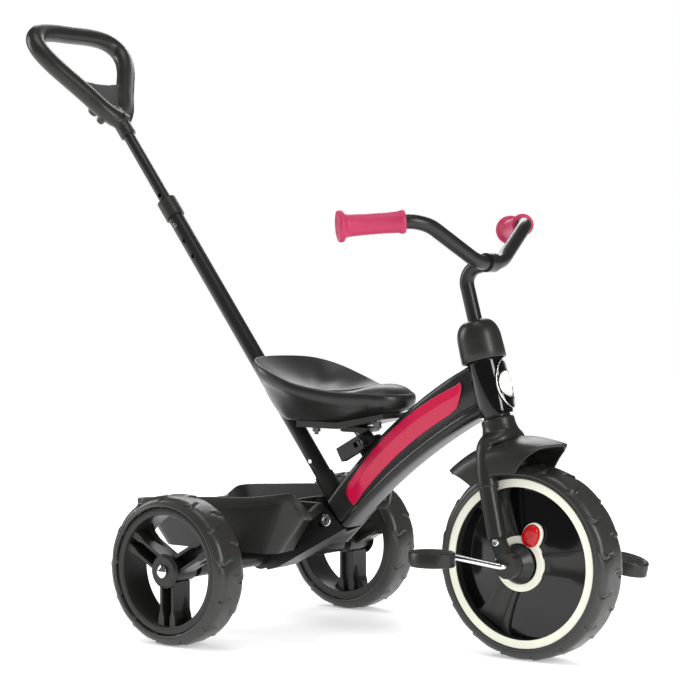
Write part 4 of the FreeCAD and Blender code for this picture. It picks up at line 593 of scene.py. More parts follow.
def tread(notches, half, depth):
    """Curved notches that run from each sidewall up to the crown, with a raised lip behind each."""
    def shift(angle, radius, y):
        rise = (half - abs(y)) / half
        phase = notches * angle / TURN + (0.5 if y > 0 else 0.0) + 0.30 * rise + 0.13 * math.sin(TURN * rise * 0.9)
        share = phase % 1.0
        window = smooth_step(0.02, 0.12, rise) * (1 - smooth_step(0.72, 0.95, rise))
        groove = math.exp(-((share - 0.5) / 0.032) ** 2)
        lip = math.exp(-((share - 0.58) / 0.045) ** 2) * 0.40
        slope = 0.35 * smooth_step(0.1, 0.48, share) if share < 0.5 else 0.0
        return window * depth * (lip - groove - slope)
    return shift


def build_tyre(name, place, sizes, notches, depth, body, node):
    radius, bore, width = sizes
    mesh = lathe(place, tyre_profile(radius, bore, width / 2), notches * STEPS_PER_NOTCH,
                 tread(notches, width / 2, depth))
    piece(name, mesh, "tyre_rubber", body, (node,), crease_angle=50)


class TRIKE_OT_tyres(bpy.types.Operator):
    """Make the three tyres with their notched shoulders"""
    bl_idname = "trike.tyres"
    bl_label = "Tyres"

    def execute(self, context):
        shapes = context.scene.trike_shapes
        depth = shapes.tread_depth / MM
        build_tyre("front_tyre_tread", FRONT_WHEEL, FRONT_TYRE, shapes.front_notches, depth, "front_wheel",
                   "front_tyre")
        for side, place in WHEEL_SIDES.items():
            build_tyre(f"rear_tyre_tread_{side}", place, REAR_TYRE, shapes.rear_notches, depth,
                       f"rear_wheel_{side}", f"rear_tyre_{side}")
        return {"FINISHED"}


# ---------------------------------------------------------------- wheels
RIM_FACE, RIM_BACK = 24.0, -24.0
RIM_SECTION = [(75.6, RIM_BACK), (75.6, RIM_FACE - 1.5), (76.4, RIM_FACE), (79.5, RIM_FACE + 0.4),
               (84.8, RIM_FACE + 0.4), (86.2, RIM_FACE - 0.2), (87.2, RIM_FACE - 1.6), (87.2, RIM_BACK)]
HUB_SECTION = [(5.2, RIM_BACK), (5.2, RIM_FACE), (17.0, RIM_FACE), (18.5, 0.0), (17.0, RIM_BACK)]
RIB_BAR = [(15.0, 2.3), (54.0, 2.3), (58.0, 3.2), (62.0, 4.6), (70.0, 5.0), (76.5, 5.2)]
RIB_WEB = [(14.0, 11.0), (34.0, 12.0), (52.0, 15.0), (64.0, 20.0), (72.0, 27.0), (76.0, 33.0)]
RIBS = ((RIB_BAR, -10.0, 20.5, -14.0), (RIB_BAR, 10.0, 20.5, -14.0), (RIB_WEB, 0.0, -2.0, -8.0))


def rib(place, turn, stations, offset, near, far):
    """A bar that runs out from the hub at an angle; stations are (radius, half width)."""
    out = place.leaning(turn)
    return skin([[out.at(offset + across, y, radius)
                  for across, y in ((-half, near), (half, near), (half, far), (-half, far))]
                 for radius, half in stations])


def build_rear_rim(side, place):
    outward = -1 if side == "right" else 1
    parts = [lathe(place, [(radius, y * outward) for radius, y in section], steps)
             for section, steps in ((RIM_SECTION, 144), (HUB_SECTION, 64))]
    for number in range(3):
        turn = TURN * (0.25 + number / 3 + 0.5)
        parts += [rib(place, turn, stations, offset, near * outward, far * outward)
                  for stations, offset, near, far in RIBS]
    piece(f"rear_rim_ribs_{side}", joined(*parts), "black_plastic", f"rear_wheel_{side}", (f"rear_rim_{side}",),
          bevel=0.6)


class TRIKE_OT_rear_rims(bpy.types.Operator):
    """Make the rear rims with their three pairs of ribs"""
    bl_idname = "trike.rear_rims"
    bl_label = "Rear rims"

    def execute(self, context):
        for side, place in WHEEL_SIDES.items():
            build_rear_rim(side, place)
        return {"FINISHED"}


DISH = [(36.5, 21.8), (42.0, 21.5), (60.0, 19.0), (80.0, 15.0), (94.0, 12.5), (99.7, 12.5)]
DISH_RADII = [17.0, 30.0, 36.5, 42.0, 48.0, 54.0, 60.0, 66.0, 72.0, 78.0, 84.0, 90.0, 95.0, 99.7]
DISH_SHEET = 2.5
SPOKE_SECTION = [(-1.0, -4.0), (-1.0, 3.6), (-0.66, 4.2), (-0.46, 1.4), (0.46, 1.4), (0.66, 4.2), (1.0, 3.6),
                 (1.0, -4.0)]
SPOKE_STATIONS = ((33.0, 16.6), (44.0, 17.2), (56.0, 18.5), (68.0, 20.0), (80.0, 22.0), (88.0, 24.2), (93.0, 27.0),
                  (96.5, 30.5))
HUB_PLATE = ((17.0, 18.0), (17.0, 23.0), (36.3, 23.0), (37.5, 21.0), (37.5, 18.0))


def front_dish(outward):
    outer = [(radius, between(DISH, radius) * outward) for radius in DISH_RADII]
    inner = [(radius, (between(DISH, radius) - DISH_SHEET) * outward) for radius in reversed(DISH_RADII)]
    return lathe(FRONT_WHEEL, outer + inner, 144)


def front_spoke(turn, outward):
    """A wide spoke with two raised edges and a channel, that follows the dish out to the rim."""
    out = FRONT_WHEEL.leaning(turn)
    return skin([[out.at(share * half, (between(DISH, radius) + rise) * outward, radius)
                  for share, rise in SPOKE_SECTION] for radius, half in SPOKE_STATIONS])


class TRIKE_OT_front_wheel(bpy.types.Operator):
    """Make the front wheel's glossy dishes and wide spokes"""
    bl_idname = "trike.front_wheel"
    bl_label = "Front wheel"

    def execute(self, context):
        piece("front_dishes", joined(front_dish(-1), front_dish(1)), "gloss_black_plastic", "front_wheel",
              ("front_discs",))
        spokes = [front_spoke(TURN * number / 3, outward) for number in range(3) for outward in (-1, 1)]
        plates = [lathe(FRONT_WHEEL, [(radius, y * outward) for radius, y in HUB_PLATE], 72) for outward in (-1, 1)]
        piece("front_wheel_spokes", joined(*spokes, *plates), "black_plastic", "front_wheel", ("front_spokes",),
              bevel=0.7)
        return {"FINISHED"}


# ---------------------------------------------------------------- saddle
SEAT_RIM = [(4.0, 387.0), (30.0, 383.0), (70.0, 370.0), (106.0, 357.0), (140.0, 348.0), (167.0, 343.5),
            (225.0, 341.0), (252.0, 338.0)]
SEAT_SPINE = [(84.0, 339.0), (110.0, 333.0), (140.0, 333.5), (170.0, 342.0), (200.0, 352.0), (214.0, 353.0)]
SEAT_HALF = [(84.0, 88.5), (106.0, 88.5), (125.0, 83.0), (167.0, 62.0), (200.0, 45.0), (214.0, 41.0)]
SEAT_SPINE_REAR, SEAT_SPINE_FRONT = 84.0, 203.0
SEAT_BACK, SEAT_NOSE = 6.0, 241.0
SEAT_UNDERSIDE = 299.0
SEAT_ROLL = [(0.0, 0.0), (1.8, -0.6), (3.6, -2.6), (4.6, -6.0), (4.6, -10.0), (3.6, -14.5), (1.0, -18.5),
             (-3.5, -21.5)]
SEAT_WIDEST = 88.5
SEAT_DISH_SHARES = (0.02, 0.15, 0.30, 0.45, 0.58, 0.70, 0.80, 0.88, 0.935, 0.965, 0.985)
SEAT_BELLY = ((0.87, 0.24), (0.76, 0.53), (0.63, 0.82), (0.52, 0.97), (0.46, 1.0), (0.2, 1.0), (0.02, 1.0))


def seat_outline():
    """Pairs of a point on the saddle's edge and the point of its spine that it belongs to, once round."""
    pairs = []
    back = SEAT_SPINE_REAR - SEAT_BACK
    nose = SEAT_NOSE - SEAT_SPINE_FRONT
    side = [SEAT_SPINE_REAR + (SEAT_SPINE_FRONT - SEAT_SPINE_REAR) * step / 20 for step in range(1, 20)]
    for step in range(25):
        turn = math.pi / 2 + math.pi * step / 24
        across, along = math.sin(turn), math.cos(turn)
        x = SEAT_SPINE_REAR + back * superellipse(along, 0.92)
        pairs.append(((x, SEAT_WIDEST * superellipse(across, 0.92)), SEAT_SPINE_REAR))
    pairs += [((x, -between(SEAT_HALF, x)), x) for x in side]
    half = between(SEAT_HALF, SEAT_SPINE_FRONT)
    for step in range(21):
        turn = -math.pi / 2 + math.pi * step / 20
        pairs.append(((SEAT_SPINE_FRONT + nose * math.cos(turn), half * math.sin(turn)), SEAT_SPINE_FRONT))
    pairs += [((x, between(SEAT_HALF, x)), x) for x in reversed(side)]
    return pairs


def seat_top(edge, spine, share):
    """Height of the sitting surface between the spine and the edge."""
    low = between(SEAT_SPINE, spine)
    high = between(SEAT_RIM, edge[0])
    forward = smooth_step(150.0, 200.0, spine)
    curve = share ** (2.6 - 0.9 * smooth_step(60.0, 20.0, edge[0]) if edge[0] < 84 else 2.6)
    return low + (high - low) * (curve * (1 - forward) + share ** 3.4 * forward)


def seat_rings():
    pairs = seat_outline()
    rings = []
    for share in SEAT_DISH_SHARES:
        rings.append([GROUND.at(spine + (x - spine) * share, y * share, seat_top((x, y), spine, share))
                      for (x, y), spine in pairs])
    for out, down in SEAT_ROLL:
        ring = []
        for (x, y), spine in pairs:
            reach = math.hypot(x - spine, y)
            tuck = 1 - 0.75 * smooth_step(50.0, 10.0, x) if x < 50 else 1.0
            grow = 1 + (out * tuck - (abs(down) * 0.75 * (1 - tuck))) / reach
            ring.append(GROUND.at(spine + (x - spine) * grow, y * grow, between(SEAT_RIM, x) + down))
        rings.append(ring)
    for share, sink in SEAT_BELLY:
        ring = []
        for (x, y), spine in pairs:
            start = between(SEAT_RIM, x) + SEAT_ROLL[-1][1]
            floor = SEAT_UNDERSIDE + 14.0 * smooth_step(158.0, 230.0, spine + (x - spine) * share)
            ring.append(GROUND.at(spine + (x - spine) * share, y * share, start + (floor - start) * sink))
        rings.append(ring)
    return rings


class TRIKE_OT_saddle(bpy.types.Operator):
    """Make the saddle with its dished back, raised nose and rolled edge"""
    bl_idname = "trike.saddle"
    bl_label = "Saddle"

    def execute(self, context):
        saddle = piece("saddle", skin(seat_rings()), "seat_foam", "seat", ("seat_cushion",), levels=1)
        return {"FINISHED"}


# ---------------------------------------------------------------- beam and side panels
BEAM_TOP = ((121.0, 190.0), (358.0, 386.3), 750.0)
BEAM_LOW = ((152.0, 152.0), (386.0, 322.0), 840.0)
BEAM_HALF = 23.0
BEAM_SECTION = ((0.0, 0.45), (0.012, 0.70), (0.045, 0.90), (0.10, 0.975), (0.15, 0.95), (0.195, 0.88), (0.215, 0.85),
                (0.235, 0.87), (0.25, 0.96), (0.262, 1.0), (0.55, 1.0), (0.84, 1.0), (0.90, 0.975), (0.945, 0.90),
                (0.98, 0.70), (1.0, 0.40))
PANEL_TOP = ((160.0, 214.0), (349.0, 360.0), 420.0)
PANEL_LOW = ((169.0, 185.0), (341.0, 323.0), 562.0)
PANEL_STEPS = 48
PANEL_BACK = 21.6
PANEL_EDGE = 24.2
PANEL_SHARES = (0.015, 0.05, 0.15, 0.28, 0.40, 0.50, 0.56, 0.60, 0.64, 0.72, 0.82, 0.90, 0.95, 0.985)
PANEL_RIDGE = 0.6
BOLT_SPOT = (118.8, 160.7)
BOLT_RINGS = ((8.5, 4.6, 19.0, 22.4), (4.8, 2.2, 19.0, 21.6))  # outer and inner radius, foot, face


def beam(steps=72):
    """The frame beam: a rounded bead along its foot, a groove above it, flat sides and a rounded top."""
    rings = []
    for step, (upper, lower) in enumerate(zip(arc_between(*BEAM_TOP, steps), arc_between(*BEAM_LOW, steps))):
        half = BEAM_HALF - 4.0 * smooth_step(0.86, 1.0, step / steps)
        outline = [(share, -side) for share, side in BEAM_SECTION]
        outline += [(share, side) for share, side in reversed(BEAM_SECTION)]
        rings.append([GROUND.at(lower.x + (upper.x - lower.x) * share, half * side,
                                lower.y + (upper.y - lower.y) * share) for share, side in outline])
    return skin(rings)


def panel(outward, crown):
    """A panel whose face rises to a long ridge above its middle."""
    top = arc_between(*PANEL_TOP, PANEL_STEPS)
    low = arc_between(*PANEL_LOW, PANEL_STEPS)
    rings = []
    for step, (upper, lower) in enumerate(zip(top, low)):
        along = step / PANEL_STEPS
        end = smooth_step(0.0, 0.10, along) * (1 - smooth_step(0.93, 1.0, along))
        ring = [(0.0, PANEL_BACK), (0.0, PANEL_EDGE - 0.8)]
        for share in PANEL_SHARES:
            rise = share / PANEL_RIDGE if share < PANEL_RIDGE else 1 - 1.25 * (share - PANEL_RIDGE) / (1 - PANEL_RIDGE)
            ring.append((share, PANEL_EDGE + crown * rise * end))
        ring += [(1.0, PANEL_EDGE - 1.0), (1.0, PANEL_BACK)]
        heel = -8.0 * (1 - smooth_step(0.0, 0.05, along))
        toe = -5.0 * smooth_step(0.93, 1.0, along)
        rings.append([GROUND.at(lower.x + (upper.x - lower.x) * share + heel * math.sin(math.pi * share)
                                + toe * abs(2 * share - 1) ** 9, y * outward,
                                lower.y + (upper.y - lower.y) * share) for share, y in ring])
    return skin(rings)


class TRIKE_OT_side_panels(bpy.types.Operator):
    """Make the frame beam, its bolt heads and the crimson panels on its sides"""
    bl_idname = "trike.side_panels"
    bl_label = "Beam and side panels"

    def execute(self, context):
        piece("frame_beam", beam(), "matte_black_paint", "frame", ("main_beam",), crease_angle=50)
        bolt = Place(GROUND.at(BOLT_SPOT[0], 0, BOLT_SPOT[1]))
        bolts = [lathe(bolt, [(inner, side * near), (inner, side * far), (radius - 0.8, side * far),
                              (radius, side * (far - 0.8)), (radius, side * near)], 48)
                 for side in (-1, 1) for radius, inner, near, far in BOLT_RINGS]
        piece("bracket_bolt_heads", joined(*bolts), "chrome_plate", "frame", ("bracket_bolt",))
        crown = context.scene.trike_shapes.panel_crown / MM
        piece("beam_side_panels", joined(panel(-1, crown), panel(1, crown)), "crimson_panel", "frame", ("inlays",),
              bevel=0.5)
        return {"FINISHED"}


# ---------------------------------------------------------------- fender
FENDER_SECTION = [(0.0, 164.0), (20.0, 160.0), (30.0, 157.0), (35.0, 155.0), (40.0, 151.0), (45.0, 145.0),
                  (48.0, 134.0), (49.5, 117.0)]
FENDER_FRONT = [(0.0, 35.2), (10.0, 33.1), (20.0, 31.1), (30.0, 29.0), (40.0, 26.9), (45.0, 25.2), (48.0, 22.0),
                (49.5, 18.0)]
FENDER_REAR_SHIFT = 1.7
FENDER_STOPS = (0.0, 4.0, 9.0, 14.0, 20.0, 26.0, 31.0, 35.0, 38.0, 41.0, 43.5, 45.5, 47.0, 48.0, 48.7, 49.2, 49.5)


def fender_rows(steps=48):
    """Rows across a sheet that arches over the tyre; its ends run to a point in the middle."""
    stops = [-y for y in reversed(FENDER_STOPS[1:])] + list(FENDER_STOPS)
    rows = []
    for step in range(steps + 1):
        row = []
        for y in stops:
            front = between(FENDER_FRONT, abs(y))
            lean = front - (2 * front - FENDER_REAR_SHIFT) * step / steps
            row.append(STEERING.polar(between(FENDER_SECTION, abs(y)), math.pi / 2 - math.radians(lean), y))
        rows.append(row)
    return rows


class TRIKE_OT_fender(bpy.types.Operator):
    """Make the pointed front fender"""
    bl_idname = "trike.fender"
    bl_label = "Fender"

    def execute(self, context):
        made = piece("front_fender_leaf", sheet(fender_rows()), "black_plastic", "steering", ("front_fender",))
        thick = made.modifiers.new("sheet", "SOLIDIFY")
        thick.thickness = context.scene.trike_shapes.fender_sheet
        thick.offset = 0
        return {"FINISHED"}


# ---------------------------------------------------------------- basket
BASKET_SIDES = [(-161.0, 170.0), (-158.0, 176.0), (-146.0, 183.0), (-74.0, 189.0), (0.0, 194.0), (57.0, 197.0),
                (95.0, 202.0), (124.0, 206.0), (135.0, 205.0), (143.0, 197.0), (149.0, 186.0), (152.0, 181.0)]
BASKET_REAR_LIP, BASKET_FRONT_LIP = 168.0, 180.5
BASKET_FLOOR, BASKET_WALL = 116.8, 3.0
BASKET_RIM = (-156.0, 152.0, 116.5, 25.0, 32.0)  # rear, front, half width, corner, sweep
BASKET_BASE = (-118.0, 84.0, 96.0, 20.0, 10.0)
NOTCH_HALF, NOTCH_BACK, NOTCH_CORNER = 34.0, 62.0, 4.0
CORNER_STEPS, EDGE_STEPS = 8, 16
LEDGE = 3.6


def basket_plan(rear, front, half, corner, sweep):
    """A rounded plan in (x, y) with a notch for the beam in its front, which sweeps back towards the notch."""
    corners = [(front, -half), (rear, -half), (rear, half), (front, half), (front - sweep, NOTCH_HALF),
               (NOTCH_BACK, NOTCH_HALF), (NOTCH_BACK, -NOTCH_HALF), (front - sweep, -NOTCH_HALF)]
    path = rounded_path(corners, [corner] * 4 + [NOTCH_CORNER] * 4, CORNER_STEPS)
    points = []
    for index, point in enumerate(path):
        points.append(point)
        if index % (CORNER_STEPS + 1) == CORNER_STEPS:
            after = path[(index + 1) % len(path)]
            points += [point.lerp(after, step / EDGE_STEPS) for step in range(1, EDGE_STEPS)]
    return points


def swollen(points, out):
    """The same plan, moved outward by a distance."""
    moved = []
    for index, point in enumerate(points):
        way = (points[(index + 1) % len(points)] - points[index - 1]).normalized()
        moved.append(point + out * Vector((way.y, -way.x)))
    return moved


def basket_height(x, y):
    lip = BASKET_FRONT_LIP if x > 0 else BASKET_REAR_LIP
    lip += 6.0 * smooth_step(96.0, 40.0, abs(y)) if x > 0 else 0.0
    return lip + (between(BASKET_SIDES, x) - lip) * smooth_step(90.0, 112.0, abs(y))


class TRIKE_OT_basket(bpy.types.Operator):
    """Make the basket with the band round its rim"""
    bl_idname = "trike.basket"
    bl_label = "Basket"

    def execute(self, context):
        band = context.scene.trike_shapes.rim_band / MM
        rim = basket_plan(*BASKET_RIM)
        floor = basket_plan(*BASKET_BASE)
        outside = 1 if swollen(rim, 1.0)[20].y < rim[20].y else -1
        rims = {out: swollen(rim, out * outside) for out in (LEDGE, 3.0, 0.0, -BASKET_WALL)}
        inner_floor = swollen(floor, -BASKET_WALL * outside)
        rings = []
        for index, spot in enumerate(rim):
            top = basket_height(spot.x, spot.y)
            drop = band * (1 - 0.3 * smooth_step(-100.0, 120.0, spot.x))
            down = drop / (top - BASKET_FLOOR)
            wall = rims[0.0][index].lerp(floor[index], down)
            rings.append([
                GROUND.at(*floor[index], BASKET_FLOOR), GROUND.at(*wall, top - drop),
                GROUND.at(*rims[LEDGE][index], top - drop), GROUND.at(*rims[LEDGE][index], top - 1.6),
                GROUND.at(*rims[3.0][index], top - 0.4), GROUND.at(*rims[0.0][index], top),
                GROUND.at(*rims[-BASKET_WALL][index], top - 0.6), GROUND.at(*inner_floor[index], BASKET_FLOOR + 3)])
        plate = skin([[GROUND.at(*spot, level) for spot in floor] for level in (BASKET_FLOOR, BASKET_FLOOR + 3)])
        piece("basket_tub", joined(skin(rings, loop=True), plate), "black_plastic", "frame", ("basket",), bevel=0.5)
        return {"FINISHED"}


# ---------------------------------------------------------------- fork and head
CROWN_SHAPE = ((193.5, 19.0, 19.0), (192.5, 22.4, 22.4), (181.0, 22.6, 22.6), (180.0, 23.6, 23.6), (175.5, 23.8, 24.4),
               (173.5, 24.4, 27.5), (171.0, 25.2, 32.0), (167.5, 25.8, 36.5), (163.0, 26.0, 39.5), (158.0, 24.0, 38.0))
LEG_PATH = ((-5.0, 12.0, 164.0), (-6.5, 20.0, 162.5), (-7.8, 28.0, 157.0), (-8.6, 33.5, 147.0), (-9.2, 39.0, 127.0),
            (-9.5, 44.0, 103.0))
LEG_RADIUS, LOWER_LEG_RADIUS = 13.9, 12.2
LEG_KNEE, LEG_FOOT = (-9.5, 44.0, 108.0), (-9.5, 50.5, 38.0)
BELL = [(10.0, 320.0), (26.0, 297.0), (27.6, 271.6), (29.6, 271.4), (30.4, 272.4), (30.2, 284.0)]
BELL += [(11.0 + 18.7 * math.sin(turn) ** 0.9, 297.0 + 29.5 * math.cos(turn) ** 0.9)
         for turn in (math.pi / 2 * step / 12 for step in range(12, -1, -1))]
HEAD = [(18.0, 196.5), (22.2, 196.5), (22.8, 200.0), (23.6, 208.0), (24.6, 220.0), (25.0, 238.0), (24.8, 256.0),
        (24.4, 269.0), (18.0, 269.0)]
BADGE_MIDDLE = 234.0
BADGE_PLATE = [(17.5 * superellipse(math.sin(turn), 1.4), 33.0 * math.cos(turn)) for turn in circle(72)]
BADGE_DISC = [(14.5 * math.sin(turn), 17.0 * math.cos(turn)) for turn in circle(48)]
BADGE_LIFTS = ((1.0, -2.0), (1.0, 0.6), (0.93, 1.0), (0.5, 1.0), (0.02, 1.0))


def badge(outline, radius, thickness):
    """A plate bent round the head column; its outline is in (across, up) about the badge's middle."""
    rings = []
    for share, lift in BADGE_LIFTS:
        out = radius + lift * thickness
        rings.append([STEERING.at(out * math.cos(across * share / radius), out * math.sin(across * share / radius),
                                  BADGE_MIDDLE + up * share) for across, up in outline])
    return skin(rings)


def badge_edge(outline, radius, half):
    """A raised round bead along a badge outline."""
    rings = []
    for across, up in outline:
        ring = []
        for turn in circle(12):
            spread = 1 + half * math.cos(turn) / math.hypot(across, up)
            out = radius + half * math.sin(turn)
            ring.append(STEERING.at(out * math.cos(across * spread / radius), out * math.sin(across * spread / radius),
                                    BADGE_MIDDLE + up * spread))
        rings.append(ring)
    return skin(rings, loop=True)


class TRIKE_OT_fork(bpy.types.Operator):
    """Make the fork's moulded crown and its lower legs"""
    bl_idname = "trike.fork"
    bl_label = "Fork"

    def execute(self, context):
        crown = skin([[STEERING.at(ahead * math.cos(turn), across * math.sin(turn), z) for turn in circle(64)]
                      for z, ahead, across in CROWN_SHAPE])
        axes = [[(index, spot[axis]) for index, spot in enumerate(LEG_PATH)] for axis in range(3)]
        spots = [[between(axis, share / 4) for axis in axes] for share in range(4 * (len(LEG_PATH) - 1) + 1)]
        legs = [tube([STEERING.at(x, side * y, z) for x, y, z in spots], LEG_RADIUS) for side in (-1, 1)]
        made = piece("fork_crown_moulding", joined(crown, *legs), "black_plastic", "steering",
                     ("fork_crown", "crown_ring"))
        remeshed(made, 1.4, 16)
        lower = []
        for side in (-1, 1):
            knee, foot = (STEERING.at(x, side * y, z) for x, y, z in (LEG_KNEE, LEG_FOOT))
            lower.append(barrel(knee, foot, ((0.0, LOWER_LEG_RADIUS), (1.0, LOWER_LEG_RADIUS))))
        piece("fork_lower_legs", joined(*lower), "black_plastic", "steering", ("fork_legs",))
        return {"FINISHED"}


class TRIKE_OT_head(bpy.types.Operator):
    """Make the bell, the head column and its blank badge"""
    bl_idname = "trike.head"
    bl_label = "Head"

    def execute(self, context):
        piece("head_bell", upright(STEERING, BELL), "black_plastic", "steering", ("headset_cover",), crease_angle=50)
        piece("head_column", upright(STEERING, HEAD), "gloss_black_paint", "frame", ("head_tube",), crease_angle=50)
        piece("head_badge_plate", badge(BADGE_PLATE, 25.0, 2.0), "gloss_black_paint", "frame", bevel=0.4)
        edges = [badge_edge(BADGE_PLATE, 27.2, 1.1), badge_edge(BADGE_DISC, 28.0, 0.9)]
        piece("head_badge_edges", joined(*edges), "chrome_plate", "frame", ("head_badge",))
        piece("head_badge_disc", badge(BADGE_DISC, 26.6, 1.6), "cream_plastic", "frame", ("badge_disc",), bevel=0.3)
        return {"FINISHED"}


# ---------------------------------------------------------------- freewheel selector
KNOB_LEVELS = ((0.0, -28.0), (0.0, -31.5), (0.6, -33.0), (2.0, -34.3), (4.5, -35.2), (8.0, -35.6))
TAB_LEVELS = ((0.0, -22.9), (0.0, -27.5), (0.7, -28.2))
RING_SECTION = ((26.5, 22.9), (26.5, 27.2), (27.3, 28.0), (35.7, 28.0), (36.5, 27.2), (36.5, 22.9))
RIDGE = ((-6.0, 43.8), (6.0, 43.8), (6.0, 46.2), (-6.0, 46.2))


def rounded_plate(place, centre, half_width, half_length, levels):
    """A rounded plate in the wheel's plane; levels are (inset, y) from its foot to its face."""
    rings = []
    for inset, y in levels:
        ring = []
        for turn in circle(64):
            half = (half_width - inset) * (1 - 0.14 * math.cos(turn))
            ring.append(place.at(half * superellipse(math.sin(turn), 0.85), y,
                                 centre + (half_length - inset) * superellipse(math.cos(turn), 0.85)))
        rings.append(ring)
    return skin(rings)


class TRIKE_OT_selector(bpy.types.Operator):
    """Make the hub rings and the domed selector with its finger ridge"""
    bl_idname = "trike.selector"
    bl_label = "Selector"

    def execute(self, context):
        out = middle_of("freewheel_selector") - FRONT_WHEEL.origin
        place = Place(FRONT_WHEEL.origin, (out.x, 0, out.z))
        knob = rounded_plate(place, 43.2, 12.0, 15.0, KNOB_LEVELS)
        rings = [lathe(FRONT_WHEEL, [(radius, side * y) for radius, y in RING_SECTION], 96) for side in (-1, 1)]
        tab = rounded_plate(place, 43.0, 14.2, 17.0, TAB_LEVELS)
        piece("hub_rings_white", joined(*rings, tab), "cream_plastic", "front_wheel", ("hub_rings",))
        ridge = skin([[place.at(x, y, z) for x, z in RIDGE] for y in (-34.0, -37.0)])
        piece("freewheel_selector_cap", joined(knob, ridge), "red_plastic",
              joint("freewheel_selector_slide")["child"], ("freewheel_selector",), bevel=0.5)
        return {"FINISHED"}


# ---------------------------------------------------------------- push handle
LOOP_HALF = [(0.0, 838.0), (40.0, 838.0), (70.0, 833.0), (88.0, 819.0), (91.0, 798.0), (80.0, 772.0), (62.0, 746.0),
             (42.0, 718.0), (22.0, 688.0)]
LOOP_FOOT = (0.0, 672.0)
LOOP_WIDE, LOOP_DEEP = 14.2, 13.6
BOSSES = ((-6.0, 700.0, 9.0, 14.0), (-4.0, 680.0, 6.5, 13.0))  # x, z, radius, reach
BOSS_SIDE = -24.0
NECK_FOOT, NECK_TOP = 640.5, 690.0


def closed_curve(points, steps):
    """A smooth closed way through points in a plane."""
    way = []
    count = len(points)
    for index in range(count):
        before, first, second, after = (Vector(points[(index + shift) % count]) for shift in (-1, 0, 1, 2))
        for step in range(steps):
            share = step / steps
            way.append(0.5 * (2 * first + (second - before) * share
                              + (2 * before - 5 * first + 4 * second - after) * share ** 2
                              + (3 * first - before - 3 * second + after) * share ** 3))
    return way


def handle_loop():
    way = closed_curve(LOOP_HALF + [LOOP_FOOT] + [(-y, z) for y, z in reversed(LOOP_HALF[1:])], 6)
    rings = []
    for index, point in enumerate(way):
        along = (way[(index + 1) % len(way)] - way[index - 1]).normalized()
        side = Vector((along.y, -along.x))
        ring = []
        for turn in circle(32):
            out = LOOP_WIDE * math.cos(turn)
            ring.append(PUSH_BAR.at(LOOP_DEEP * math.sin(turn), point.x + side.x * out, point.y + side.y * out))
        rings.append(ring)
    return skin(rings, loop=True)


def handle_web():
    """The plate between the legs, hollowed along its top edge."""
    outline = [(-12.0, 656.0), (12.0, 656.0)]
    outline += [(52.0 - 104.0 * step / 12, 744.0 - 8.0 * math.sin(math.pi * step / 12)) for step in range(13)]
    return skin([[PUSH_BAR.at(depth, y, z) for y, z in outline] for depth in (-5.5, 6.0)])


class TRIKE_OT_handle(bpy.types.Operator):
    """Make the push handle with its web, bosses and release button"""
    bl_idname = "trike.handle"
    bl_label = "Push handle"

    def execute(self, context):
        neck = barrel(PUSH_BAR.at(0, 0, NECK_FOOT), PUSH_BAR.at(0, 0, NECK_TOP),
                      ((0.0, 12.2), (0.6, 12.2), (1.0, 10.0)))
        made = piece("push_handle_loop", joined(handle_loop(), handle_web(), neck), "black_plastic",
                     "push_bar_upper", ("push_handle",))
        remeshed(made, 1.5, 8)
        bosses = [barrel(PUSH_BAR.at(x, BOSS_SIDE, z), PUSH_BAR.at(x - reach, BOSS_SIDE, z),
                         ((0.0, radius), (0.8, radius), (1.0, radius - 1.2))) for x, z, radius, reach in BOSSES]
        piece("handle_bosses", joined(*bosses), "black_plastic", "push_bar_upper", bevel=0.5)
        button = barrel(PUSH_BAR.at(8.0, 0, 665.0), PUSH_BAR.at(16.5, 0, 667.0), ((0.0, 6.5), (0.7, 6.2), (1.0, 4.6)))
        piece("handle_release_button", button, "black_plastic", "push_bar_upper", bevel=0.4)
        return {"FINISHED"}


# ---------------------------------------------------------------- grips
BAR_KNEE, BAR_END = (37.3, 125.0, 452.7), (-40.6, 204.7, 465.6)
GRIP_LENGTH = 88.0
GRIP_STATIONS = ((0.0, 12.0), (0.0, 14.6), (0.012, 15.4), (0.05, 15.6), (0.075, 14.9), (0.10, 14.0), (0.30, 13.5),
                 (0.60, 13.6), (0.82, 14.4), (0.88, 15.6), (0.905, 19.6), (0.925, 20.6), (0.97, 20.6), (0.99, 19.4),
                 (1.0, 16.0))


class TRIKE_OT_grips(bpy.types.Operator):
    """Make the handlebar grips"""
    bl_idname = "trike.grips"
    bl_label = "Grips"

    def execute(self, context):
        parts = []
        for side in (-1, 1):
            knee = STEERING.at(BAR_KNEE[0], side * BAR_KNEE[1], BAR_KNEE[2])
            end = STEERING.at(BAR_END[0], side * BAR_END[1], BAR_END[2])
            start = end + (knee - end).normalized() * GRIP_LENGTH * MM
            parts.append(barrel(start, end, GRIP_STATIONS, 48))
        piece("grip_sleeves", joined(*parts), "pink_grip", "steering", ("grips",), crease_angle=60)
        return {"FINISHED"}


# ---------------------------------------------------------------- pedals
PEDAL_HALF_LENGTH, PEDAL_HALF_WIDTH = 33.0, 28.0
PEDAL_LEVELS = ((6.0, -7.0), (1.5, -9.5), (0.0, -8.0), (0.0, 8.0), (1.2, 9.5), (4.5, 9.5), (5.5, 8.2), (9.0, 8.2))
PEDAL_LEAN = {"right": 0.0, "left": 13.0}
STUD_PITCH, STUD_FOOT, STUD_TOP = 5.0, 7.6, 9.3
CORNERS = ((-1, -1), (1, -1), (1, 1), (-1, 1))


def lens(half_length, half_width, steps=12):
    """A pointed oval outline in (x, y)."""
    points = [(point.x, point.y) for point in arc_between(
        (-half_length, 0.0), (half_length, 0.0), (half_length ** 2 + half_width ** 2) / (2 * half_width), steps)]
    return points[:-1] + [(-x, -y) for x, y in points[:-1]]


